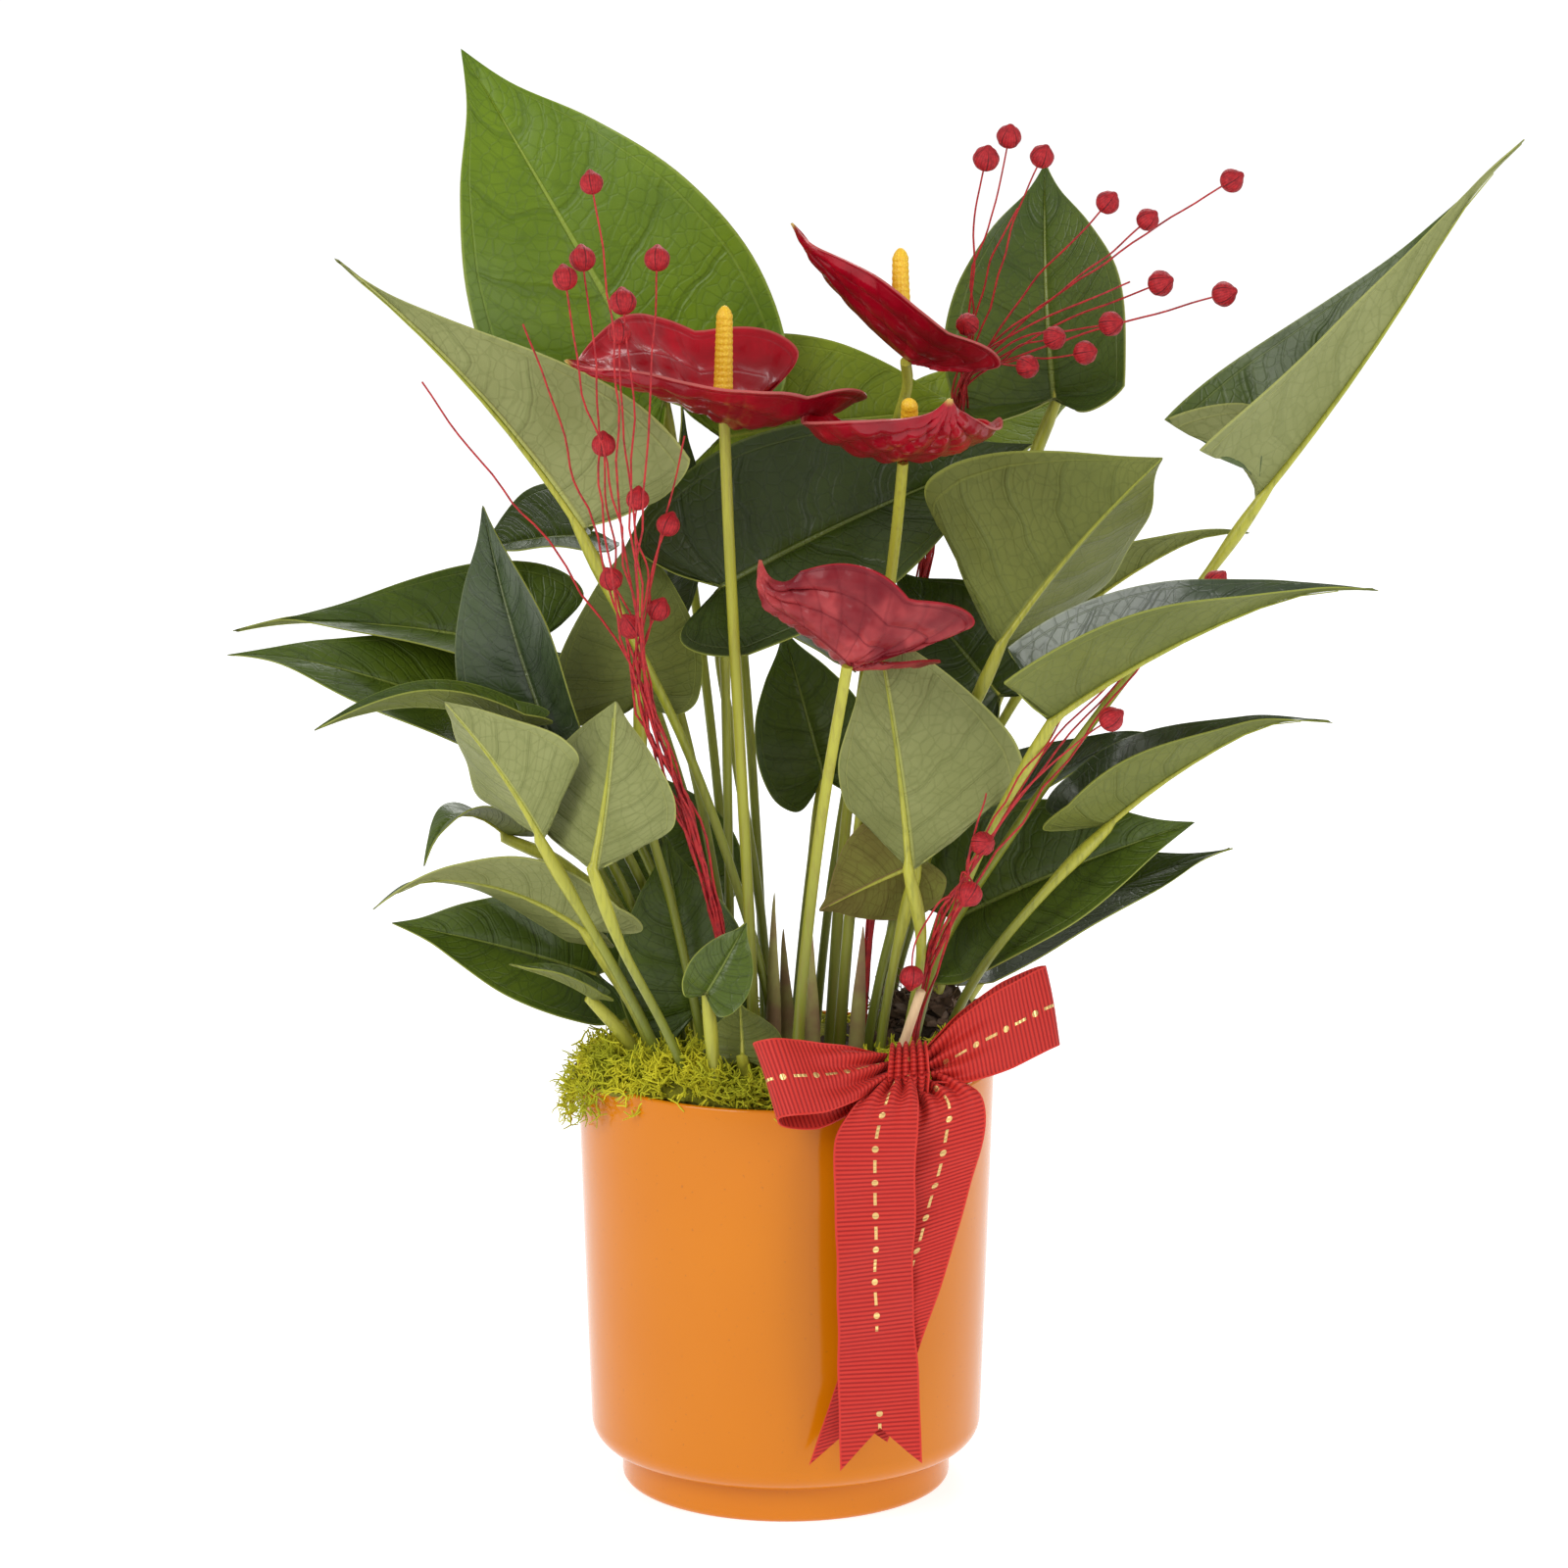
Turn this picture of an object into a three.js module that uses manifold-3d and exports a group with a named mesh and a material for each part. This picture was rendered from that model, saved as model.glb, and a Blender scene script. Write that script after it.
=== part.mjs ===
// A potted anthurium: an orange cover pot, potting mix and moss, thirty-six heart-shaped leaves,
// four red flowers, three dyed flax sprigs and a red ribbon bow tied to a wooden stick.
// Millimetres, +Z up. The origin is the middle of the pot's flat underside; -Y is the front.

import * as THREE from 'three';
import * as BufferGeometryUtils from 'three/addons/utils/BufferGeometryUtils.js';
import Module from 'manifold-3d';

const wasm = await Module();
wasm.setup();

// ---------------------------------------------------------------- driving dimensions

const GAP = 0.3; // air left between two pieces that touch

const POT_HEIGHT = 135;
const POT_RIM_RADIUS = 65;
const POT_BODY_RADIUS = 61.3; // at the bottom of the tapered wall
const POT_BODY_CORNER = 8;
const POT_STEP_HEIGHT = 12; // where the body ends and the foot begins
const POT_FOOT_RADIUS = 51.6;
const POT_FOOT_EDGE = 2.5;
const POT_WALL = 1.8;
const POT_FLOOR = 2.5;
const POT_SIDES = 40;

const MIX_TOP = 130;
const MIX_SIDES = 24;
const MIX_RINGS = [0.96, 0.86, 0.74, 0.6, 0.44, 0.22, 0]; // parts of the radius of its top
const MIX_BEVEL = 2; // at the top edge
const MIX_MOUND = { x: 44, y: 12, radius: 17, height: 24 }; // rough bark heaped at the back right
const STEM_DEPTH = 5; // how far each stem goes down into the mix

// The moss lies in a C between the stems and the rim, open where the bark is heaped, and spills over
// the rim at the front left. Angles are in degrees from +X.
const MOSS_START = 75;
const MOSS_END = 345;
const MOSS_STATIONS = 26;
const MOSS_INNER_RADIUS = 41;
const MOSS_OUTER_RADIUS = 62;
const MOSS_HEIGHT = 6;
const MOSS_STEM_SIDE = 0.6; // part of the height that it has against the stems
const MOSS_STEM_SLOPE = 8;
const MOSS_RIM_SLOPE = 4;
const MOSS_LUMPS = [
  { count: 5, height: 1.2 },
  { count: 11, height: 0.8 },
];
const MOSS_SPILL_ANGLE = 212;
const MOSS_SPILL_WIDTH = 48;
const MOSS_SPILL_HEAP = 9; // how much higher it is heaped where it spills
const MOSS_SPILL_OUT = 1.5; // from the rim to the inside of the hanging moss
const MOSS_SPILL_THICKNESS = 6;
const MOSS_HANG_START = 0.8; // part of the spill from which it also hangs down
const MOSS_HANG_DEPTH = 6;

// Heights above the mix on the outside of the moss, from its shoulder down to where it crosses the rim.
const MOSS_SHOULDER = 8;
const MOSS_SHOULDER_HEAP = 4;
const MOSS_OUTER_EDGE = 7.5;
const MOSS_INNER_EDGE = 6.5;
const MOSS_OVER_RIM = 6;
const MOSS_AT_RIM = 5.6;

const BLADE_THICKNESS = 0.9;
const BLADE_COLUMNS = 2; // strips in each half of a blade
const PETIOLE_RADIUS = 1.6;
const PETIOLE_SIDES = 4;
const PETIOLE_STEPS = 6;
const PETIOLE_REACH = 7; // how far it runs on under the blade
const TIP_START = 0.7; // the part of a blade from here on is its drip tip

const SPADIX_RADIUS = 3;
const SPADIX_SIDES = 8;
const SPADIX_LIFT = 0.9; // from the middle of the spathe's thickness
const SPATHE_THICKNESS = 0.9;

const SPRIG_SIDES = 4;
const SPRIG_STEPS = 8;
const SPRIG_RADIUS = 1.2;
const STALK_SIDES = 3;
const STALK_STEPS = 2;
const STALK_RADIUS = 0.5;
const POD_RADIUS = 3.8;
const STALK_OVERLAP = 0.15; // how far down the trunk a stalk begins
const STALK_RISE = 4; // how far a stalk arches above the straight line to its pod

const RIBBON_WIDTH = 25;
const RIBBON_THICKNESS = 0.8;
const STICK_WIDTH = 3;

const LEAF_GREEN = '#2f5f1d';
const SPATHE_RED = '#b3121f';
const SPRIG_RED = '#c0202c';
const RIBBON_RED = '#c4262b';

// ---------------------------------------------------------------- outlines

// One half of a flat blade, from the sinus beside the joint round to the tip: how far along and how
// far out the edge is, and how far along the midrib the side vein that ends there begins. Lengths
// are parts of the blade's length, widths are parts of its half width.
const LEAF_OUTLINE = [
  [-0.12, 0.25, 0],
  [-0.17, 0.58, 0],
  [-0.04, 0.89, 0.03],
  [0.2, 1, 0.16],
  [0.45, 0.86, 0.36],
  [0.68, 0.53, 0.6],
  [0.86, 0.18, 0.82],
  [1, 0, 1],
];

// The same for a half blade whose back lobe is curled forward over it.
const FOLDED_OUTLINE = [
  [0.1, 0.3, 0],
  [0.2, 0.62, 0],
  [0.3, 0.95, 0.04],
  [0.42, 0.95, 0.18],
  [0.56, 0.78, 0.36],
  [0.74, 0.47, 0.6],
  [0.88, 0.19, 0.82],
  [1, 0, 1],
];

const SPATHE_OUTLINE = [
  [-0.2, 0.2, 0],
  [-0.34, 0.55, 0],
  [-0.16, 0.9, 0.02],
  [0.16, 1, 0.14],
  [0.45, 0.84, 0.36],
  [0.7, 0.5, 0.6],
  [0.88, 0.16, 0.84],
  [1, 0, 1],
];

// ---------------------------------------------------------------- leaves

// joint: where the stalk meets the blade; tip: the blade's point; face: the way its upper side looks;
// width: across the flat blade; foot: where the stalk enters the mix; bends: points on the stalk.
// fold, tipFold, curl, lift: degrees; arch, hook: parts of the blade's length; lobe: how long the two
// back lobes are, as a part of the usual length; taper: how much the blade narrows towards its tip;
// skew: how much wider the left half is than the right; folded: the back lobes are curled forward.
const LEAF_DEFAULTS = {
  fold: 12, curl: 10, arch: 0.05, hook: 0, lobe: 1, lift: 20, taper: 0, skew: 0, folded: false,
};

const LEAVES = [
  { name: 'leaf_tall_back', joint: [-38, 34, 338], tip: [-101, 52, 445], face: [0.05, -1, 0.3],
    width: 92, fold: 8, curl: 8, arch: 0.03, lift: 30, foot: [-15, 26] },
  { name: 'leaf_high_left', joint: [-61, -30, 308], tip: [-134, -45, 391], face: [0.74, 1, 0.68],
    width: 84, fold: 38, tipFold: 60, curl: -5, lobe: 0.3, taper: 0.9, foot: [-1, -22],
    bends: [[-47, -30, 275], [-31, -28, 241], [-17, -25, 202], [-6, -23, 162]] },
  { name: 'leaf_back_centre', joint: [-20, 40, 325], tip: [60, 46, 333], face: [0, -1, 0.5],
    width: 60, fold: 5, foot: [-6, 30] },
  { name: 'leaf_back_right', joint: [42, 50, 318], tip: [93, 62, 335], face: [-0.1, -0.7, 0.7],
    width: 46, fold: 10, foot: [8, 28] },
  { name: 'leaf_high_right', joint: [83, 27, 339], tip: [81, 57, 409], face: [-0.35, -0.9, 0.2],
    width: 66, fold: 20, lift: 60, foot: [26, 22] },
  { name: 'leaf_far_right', joint: [143, -17, 315], tip: [216, -12, 427], face: [-0.8, -0.2, 0.6],
    width: 80, fold: 58, curl: 0, lobe: -0.9, arch: -0.03, hook: -0.06, taper: 0.9, foot: [31, -10],
    bends: [[127, -16, 289], [104, -16, 259], [72, -16, 214], [46, -14, 170]] },
  { name: 'leaf_centre', joint: [-20, -3, 285], tip: [76, 12, 327], face: [0.1, -0.75, 0.6],
    width: 74, fold: 22, curl: 5, lift: 30, foot: [-17, -3] },
  { name: 'leaf_right_centre', joint: [65, -27, 271], tip: [113, -36, 330], face: [-0.3, 0.85, 0.3],
    width: 84, fold: 25, folded: true, skew: 0.15, foot: [22, -16] },
  { name: 'leaf_dark_right', joint: [66, 2, 250], tip: [34, 14, 287], face: [0, -1, 0.2],
    width: 54, foot: [26, 3] },
  { name: 'leaf_right', joint: [79, -51, 253], tip: [173, -64, 300], face: [-0.3, -0.1, 0.9],
    width: 58, fold: 50, curl: 0, lobe: 0, hook: -0.06, taper: 0.4, foot: [35, -24] },
  { name: 'leaf_right_behind', joint: [84, 36, 265], tip: [142, 24, 302], face: [-0.2, 0.5, 0.8],
    width: 36, fold: 20, hook: -0.08, taper: 0.3, foot: [28, 27] },
  { name: 'leaf_lower_right', joint: [98, -15, 213], tip: [162, -29, 254], face: [-0.35, -0.1, 0.9],
    width: 44, fold: 50, curl: 0, hook: -0.1, taper: 0.6, foot: [41, -16],
    bends: [[82, -25, 197], [58, -24, 166]] },
  { name: 'leaf_low_right_inner', joint: [58, 30, 200], tip: [122, 24, 238], face: [0, -0.3, 0.9],
    width: 44, fold: 20, hook: -0.1, taper: 0.6, foot: [37, 25] },
  { name: 'leaf_low_right', joint: [53, 4, 179], tip: [126, -12, 213], face: [0.1, -0.8, 0.6],
    width: 56, fold: 18, foot: [42, 0] },
  { name: 'leaf_low_right_under', joint: [66, 18, 166], tip: [139, 6, 201], face: [0.1, -0.5, 0.85],
    width: 44, fold: 10, taper: 0.3, foot: [46, 12] },
  { name: 'leaf_front_centre', joint: [38, -52, 207], tip: [27, -36, 281], face: [0.25, 0.95, 0.1],
    width: 64, fold: 22, folded: true, skew: -0.2, foot: [31, -34],
    bends: [[41, -48, 184], [38, -41, 158]] },
  { name: 'leaf_brown', joint: [40, -29, 204], tip: [10, -34, 190], face: [0, 1, 0.1],
    width: 36, fold: 15, foot: [27, -27] },
  { name: 'leaf_dark_left', joint: [-72, -22, 241], tip: [-92, -21, 313], face: [-0.45, -0.9, 0.1],
    width: 44, fold: 25, foot: [-23, -4] },
  { name: 'leaf_left', joint: [-81, 24, 261], tip: [-169, -2, 274], face: [0, -0.6, 0.8],
    width: 60, fold: 25, hook: -0.05, taper: 1, foot: [-21, 15] },
  { name: 'leaf_left_under', joint: [-87, 8, 239], tip: [-169, -16, 269], face: [0, -0.6, 0.8],
    width: 46, fold: 8, hook: -0.05, taper: 0.2, foot: [-32, 8] },
  { name: 'leaf_left_rolled', joint: [-83, -36, 248], tip: [-142, -48, 249], face: [0, -0.1, 1],
    width: 20, fold: 40, arch: 0.12, foot: [-27, -11],
    bends: [[-70, -21, 228], [-56, -18, 206], [-38, -15, 164]] },
  { name: 'leaf_left_pale', joint: [-73, -52, 217], tip: [-102, -60, 260], face: [0.3, 0.8, 0.5],
    width: 46, fold: 20, folded: true, foot: [-32, -30], bends: [[-62, -48, 193], [-44, -38, 157]] },
  { name: 'leaf_front_left', joint: [-57, -62, 209], tip: [-51, -54, 259], face: [0.3, 0.9, 0.1],
    width: 64, fold: 28, folded: true, skew: 0.3, foot: [-24, -38],
    bends: [[-50, -60, 186], [-37, -52, 158]] },
  { name: 'leaf_left_centre', joint: [-44, -24, 255], tip: [-46, 2, 303], face: [0.1, 0.95, 0.3],
    width: 50, fold: 15, lobe: 0.6, skew: 0.25, foot: [-21, -26],
    bends: [[-43, -27, 222], [-34, -28, 187]] },
  { name: 'leaf_curled_left', joint: [-86, -5, 208], tip: [-111, -25, 202], face: [-0.2, 0, 1],
    width: 22, arch: 0.35, fold: 10, foot: [-36, -11],
    bends: [[-68, -7, 198], [-46, -10, 178], [-39, -11, 152]] },
  { name: 'leaf_low_left', joint: [-60, -30, 183], tip: [-124, -54, 202], face: [0.1, 0.5, 0.8],
    width: 42, arch: 0.12, fold: 5, hook: -0.1, foot: [-36, -26] },
  { name: 'leaf_lowest_left', joint: [-59, -4, 163], tip: [-121, -24, 184], face: [-0.1, -0.8, 0.6],
    width: 40, fold: 8, foot: [-39, -5] },
  { name: 'leaf_folded_left', joint: [-59, -34, 163], tip: [-84, -45, 176], face: [0, -0.3, 1],
    width: 10, fold: 40, foot: [-38, -24] },
  { name: 'leaf_inner_left', joint: [-33, 28, 183], tip: [-48, 32, 224], face: [0, -1, 0.2],
    width: 46, foot: [-22, 20] },
  { name: 'leaf_low_front', joint: [-28, -20, 155], tip: [-37, -14, 209], face: [-0.1, -1, 0.1],
    width: 44, fold: 10, foot: [-24, -22] },
  { name: 'leaf_small_front', joint: [-24, -54, 169], tip: [-12, -46, 189], face: [0.3, -0.9, 0.2],
    width: 22, fold: 15, foot: [-21, -51] },
  { name: 'leaf_round_front', joint: [-13, -46, 147], tip: [-14, -42, 163], face: [0, 0.9, 0.3],
    width: 26, foot: [-11, -39] },
  { name: 'leaf_back_left', joint: [-62, 40, 294], tip: [-96, 30, 291], face: [0, -0.4, 0.9],
    width: 44, fold: 15, foot: [-14, 32] },
  { name: 'leaf_dark_upright', joint: [-40, 16, 273], tip: [-32, 13, 340], face: [0.9, -0.45, 0],
    width: 28, foot: [-14, 9] },
  { name: 'leaf_under_centre', joint: [-14, 16, 278], tip: [22, 20, 254], face: [0, -0.3, 0.9],
    width: 34, foot: [-4, 12], bends: [[-20, 17, 264], [-16, 15, 230], [-8, 13, 180]] },
  { name: 'leaf_inner_back', joint: [12, 50, 215], tip: [-1, 55, 262], face: [0, -1, 0.1],
    width: 40, foot: [2, 18] },
];

// ---------------------------------------------------------------- flowers

// As for a leaf, with spadix: the way the spadix points; spadixLength: its length.
const FLOWERS = [
  { name: 'flower_left', joint: [-18, -32, 342], tip: [-65, -62, 363], face: [0.05, -0.2, 1],
    width: 80, fold: 2, curl: 50, arch: 0.02, lift: 35, lobe: 1.6, foot: [-9, -29],
    bends: [[-17, -36, 302], [-14, -36, 242], [-11, -33, 182]],
    spadix: [0.02, 0, 1], spadixLength: 32 },
  { name: 'flower_top', joint: [37, -15, 357], tip: [2, -22, 399], face: [0.6, 0.2, 0.8],
    width: 48, fold: 22, curl: 20, arch: -0.05, lift: 20, lobe: 1.2, foot: [13, 1],
    bends: [[37, -2, 347], [33, 17, 327], [28, 16, 282], [18, 7, 202]],
    spadix: [-0.05, 0.15, 1], spadixLength: 32 },
  { name: 'flower_right', joint: [35, -48, 331.5], tip: [48, -87, 352.5], face: [-0.1, 0.45, 1],
    width: 64, fold: 6, curl: 24, arch: -0.08, hook: 0.06, skew: 0.06, lobe: 1, lift: 42,
    foot: [15, -18], bends: [[33, -38, 306], [28, -26, 262], [20, -21, 190]],
    spadix: [0.05, -0.45, 1], spadixLength: 20 },
  { name: 'flower_low', joint: [19, -68, 273], tip: [-13, -66, 295], face: [0.3, 0.6, 0.75],
    width: 60, fold: 30, curl: 10, lobe: 2.1, lift: 50, hook: 0.3, foot: [2, -41],
    spadix: [0.1, 0.4, 1], spadixLength: 16 },
];

// ---------------------------------------------------------------- flax sprigs

// foot: where the bundle enters the mix; trunk: points up to where it fans out; pods: the middle of
// each, and how far its stalk bows forward (-) or back (+) on the way.
const SPRIGS = [
  { name: 'sprig_left', foot: [-15, -30], trunk: [[-18, -33, 169], [-24, -38, 201], [-34, -48, 233],
    [-43, -56, 263]],
    pods: [[-57, -62, 415, -30], [-65, -62, 387, -30], [-60, -56, 392, -30], [-48, -62, 380, -30],
      [-38, -56, 392, -32], [-49, -64, 371, -24], [-54, -58, 337, 0], [-44, -60, 321, 0],
      [-35, -58, 313, 0], [-52, -60, 297, 0], [-46, -62, 283, 0], [-38, -56, 287, 0]] },
  { name: 'sprig_right', foot: [23, 2], trunk: [[28, 10, 190], [37, 14, 250], [45, 15, 300], [52, 27, 328],
    [55, 14, 347]],
    pods: [[55, -12, 367, 0], [67, -14, 424, 0], [60, -20, 418, 0], [77, -14, 418, 0], [97, -12, 404, 0],
      [109, -14, 399, 0], [134, -16, 411, 0], [113, -16, 380, 0], [132, -18, 377, 0],
      [98, -18, 368, 0], [81, -20, 364, 0], [90, -24, 360, 0], [73, -18, 355, 0]] },
  { name: 'sprig_low', foot: [38, -25], trunk: [[41, -34, 160], [47, -50, 186], [52, -58, 200]],
    pods: [[59, -62, 217, 0], [55, -64, 202, 0], [38, -54, 174, 0], [97, -62, 255, 0],
      [130, -30, 291, 8], [128, -26, 284, 8], [121, -28, 285, 8]] },
];

// ---------------------------------------------------------------- ribbon bow

// Each length of ribbon is a list of stations: the middle of the ribbon, the way across it and how
// much of its full width is spread there. A notch is cut in the end of each tail.
const BOW_KNOT = { x: 37, y: -59, z: 147, width: 13, depth: 10, height: 13 };

const LEFT_ACROSS = [0.31, -0.5, -0.8];
const RIGHT_ACROSS = [0.18, -0.46, -0.87];

const RIBBONS = [
  { name: 'bow_loop_left', stations: [
    [[28.5, -61, 148.5], LEFT_ACROSS, 0.35],
    [[19, -69.5, 148.5], LEFT_ACROSS, 0.7],
    [[8, -75, 148.5], LEFT_ACROSS, 1],
    [[-1, -78, 149], LEFT_ACROSS, 1],
    [[-6, -75, 147], LEFT_ACROSS, 1],
    [[-4, -70.5, 143.5], LEFT_ACROSS, 1],
    [[5, -68.5, 141.5], LEFT_ACROSS, 1],
    [[16, -66, 142.5], LEFT_ACROSS, 0.7],
    [[28, -59.5, 145], LEFT_ACROSS, 0.35]] },
  { name: 'bow_loop_right', stations: [
    [[45.5, -59, 148], RIGHT_ACROSS, 0.4],
    [[54, -58, 152], RIGHT_ACROSS, 0.8],
    [[67, -54, 158], RIGHT_ACROSS, 1],
    [[77, -49, 162], RIGHT_ACROSS, 1],
    [[81, -45, 163], RIGHT_ACROSS, 1],
    [[79, -41, 162], RIGHT_ACROSS, 1],
    [[68, -44, 158], RIGHT_ACROSS, 1],
    [[55, -49, 153], RIGHT_ACROSS, 0.75],
    [[46, -54, 150], RIGHT_ACROSS, 0.4]] },
  { name: 'bow_tail_front', notch: 12, stations: [
    [[33, -67.5, 144], [1, 0.1, 0.1], 0.35],
    [[30, -74, 139], [1, 0.1, 0.05], 0.8],
    [[27, -76, 128], [1, 0.1, 0], 1],
    [[27, -75, 105], [1, 0.25, 0], 1],
    [[27, -74, 80], [0.9, 0.4, 0], 1],
    [[28, -73, 55], [0.95, 0.2, 0], 1],
    [[29, -72, 25], [1, 0, 0.1], 1]] },
  { name: 'bow_tail_back', notch: 10, stations: [
    [[44, -62, 141], [0.8, 0.2, 0.5], 0.35],
    [[49, -66, 138], [0.9, 0.1, 0.3], 0.75],
    [[48, -68, 126], [0.95, 0.1, 0.25], 1],
    [[43, -68, 105], [0.95, 0.1, 0.3], 1],
    [[36, -68, 80], [0.95, 0, 0.3], 1],
    [[27, -68, 53], [0.95, 0, 0.3], 1],
    [[19, -68, 28], [0.95, 0, 0.3], 1]] },
];

const STICK_FOOT = [27, -46, 124];
const STICK_TIP = [41, -51, 169];

// ---------------------------------------------------------------- helpers

function vector(values) {
  return new THREE.Vector3(...values);
}

// Joins shared corners and drops the triangles that this folds flat.
function weld(geometry) {
  const bare = geometry.index ? geometry.toNonIndexed() : geometry.clone();
  bare.deleteAttribute('normal');
  bare.deleteAttribute('uv');
  const merged = BufferGeometryUtils.mergeVertices(bare, 1e-3);
  const index = merged.index.array;
  const kept = [];
  for (let i = 0; i < index.length; i += 3) {
    const [a, b, c] = [index[i], index[i + 1], index[i + 2]];
    if (a !== b && b !== c && c !== a) {
      kept.push(a, b, c);
    }
  }
  merged.setIndex(kept);
  return merged;
}

function toSolid(geometry) {
  const welded = weld(geometry);
  const mesh = new wasm.Mesh({
    numProp: 3,
    vertProperties: new Float32Array(welded.attributes.position.array),
    triVerts: new Uint32Array(welded.index.array),
  });
  return new wasm.Manifold(mesh);
}

function toGeometry(solid) {
  const mesh = solid.getMesh();
  const geometry = new THREE.BufferGeometry();
  geometry.setAttribute('position', new THREE.BufferAttribute(new Float32Array(mesh.vertProperties), 3));
  geometry.setIndex(new THREE.BufferAttribute(new Uint32Array(mesh.triVerts), 1));
  return geometry;
}

// The biggest body of a cut solid, without the crumbs that the cut leaves.
function largest(solid) {
  return solid.decompose().sort((a, b) => b.volume() - a.volume())[0];
}

// A round rod of one thickness along a smooth line through the points.
function rod(points, radius, sides, steps) {
  const corners = [];
  for (let i = 0; i < sides; i += 1) {
    const angle = (i / sides) * 2 * Math.PI;
    corners.push(new THREE.Vector2(radius * Math.cos(angle), radius * Math.sin(angle)));
  }
  const path = new THREE.CatmullRomCurve3(points);
  const options = { steps, bevelEnabled: false, extrudePath: path };
  return new THREE.ExtrudeGeometry(new THREE.Shape(corners), options);
}

// A closed slab around a sheet of points given row by row; every row has the same count.
function slab(rows, thickness) {
  const count = rows[0].length;
  const flat = rows.flat();
  const sheet = new THREE.BufferGeometry().setFromPoints(flat);
  const faces = [];
  for (let i = 0; i + 1 < rows.length; i += 1) {
    for (let j = 0; j + 1 < count; j += 1) {
      const a = i * count + j;
      const b = a + 1;
      const c = a + count;
      const d = c + 1;
      faces.push(a, b, d, a, d, c);
    }
  }
  sheet.setIndex(faces);
  const welded = weld(sheet);
  welded.computeVertexNormals();
  const points = welded.attributes.position;
  const normals = welded.attributes.normal;
  const total = points.count;
  const positions = [];
  for (const side of [0.5, -0.5]) {
    for (let i = 0; i < total; i += 1) {
      const point = new THREE.Vector3().fromBufferAttribute(points, i);
      const normal = new THREE.Vector3().fromBufferAttribute(normals, i);
      point.addScaledVector(normal, side * thickness);
      positions.push(point.x, point.y, point.z);
    }
  }
  const index = [];
  const edges = new Map();
  const top = welded.index.array;
  for (let i = 0; i < top.length; i += 3) {
    const corner = [top[i], top[i + 1], top[i + 2]];
    index.push(corner[0], corner[1], corner[2]);
    index.push(corner[2] + total, corner[1] + total, corner[0] + total);
    for (let k = 0; k < 3; k += 1) {
      edges.set(`${corner[k]}_${corner[(k + 1) % 3]}`, [corner[k], corner[(k + 1) % 3]]);
    }
  }
  for (const [a, b] of edges.values()) {
    if (!edges.has(`${b}_${a}`)) {
      index.push(b, a, a + total, b, a + total, b + total);
    }
  }
  const geometry = new THREE.BufferGeometry();
  geometry.setAttribute('position', new THREE.Float32BufferAttribute(positions, 3));
  geometry.setIndex(index);
  return geometry;
}

function material(colour, roughness) {
  return new THREE.MeshStandardMaterial({ color: colour, roughness, metalness: 0 });
}

const group = new THREE.Group();

function addPiece(name, solid, colour, roughness) {
  const mesh = new THREE.Mesh(toGeometry(solid), material(colour, roughness));
  mesh.name = name;
  group.add(mesh);
}

// ---------------------------------------------------------------- blades and stalks

// A point on a blade: 'along' runs from the joint (0) to the tip (1), 'out' from the midrib to the
// widest edge, 'side' is +1 or -1. The midrib bends, and each half folds up from it.
function bladePoint(leaf, along, out, side) {
  const joint = vector(leaf.joint);
  const run = vector(leaf.tip).sub(joint);
  const length = run.length();
  const ahead = run.clone().normalize();
  const face = vector(leaf.face);
  face.addScaledVector(ahead, -face.dot(ahead)).normalize();
  const x = Math.max(along, 0);
  const tipPart = Math.max(0, (x - TIP_START) / (1 - TIP_START));
  const spine = joint.clone().addScaledVector(run, x);
  spine.addScaledVector(face, length * (leaf.arch * 4 * x * (1 - x) + leaf.hook * tipPart ** 2));
  const slope = leaf.arch * 4 * (1 - 2 * x) + (leaf.hook * 2 * tipPart) / (1 - TIP_START);
  const tangent = ahead.clone().addScaledVector(face, slope).normalize();
  const sideways = new THREE.Vector3().crossVectors(tangent, face).normalize();
  const normal = new THREE.Vector3().crossVectors(sideways, tangent);
  const fold = THREE.MathUtils.lerp(leaf.fold, leaf.tipFold ?? leaf.fold, x);
  const rise = THREE.MathUtils.degToRad(fold + leaf.curl * out * 0.5);
  const reach = (leaf.width / 2) * (1 + side * leaf.skew) * out * (1 - x) ** leaf.taper;
  const point = spine.addScaledVector(sideways, side * reach * Math.cos(rise));
  point.addScaledVector(normal, reach * Math.sin(rise));
  if (along < 0) {
    const lift = THREE.MathUtils.degToRad(leaf.lift);
    const back = tangent.clone().multiplyScalar(-Math.cos(lift)).addScaledVector(normal, Math.sin(lift));
    point.addScaledVector(back, -along * length);
  }
  return point;
}

function bladeRows(leaf, outline) {
  return outline.map(([edgeAlong, edgeOut, veinStart]) => {
    const reach = edgeAlong < 0 ? edgeAlong * leaf.lobe : edgeAlong;
    const row = [];
    for (let j = -BLADE_COLUMNS; j <= BLADE_COLUMNS; j += 1) {
      const part = Math.abs(j) / BLADE_COLUMNS;
      const along = veinStart + (reach - veinStart) * part;
      row.push(bladePoint(leaf, along, edgeOut * part, j < 0 ? -1 : 1));
    }
    return row;
  });
}

// A point just under the midrib.
function underBlade(leaf, along) {
  const run = vector(leaf.tip).sub(vector(leaf.joint)).normalize();
  const face = vector(leaf.face);
  face.addScaledVector(run, -face.dot(run)).normalize();
  return bladePoint(leaf, along, 0, 1).addScaledVector(face, -BLADE_THICKNESS);
}

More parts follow.
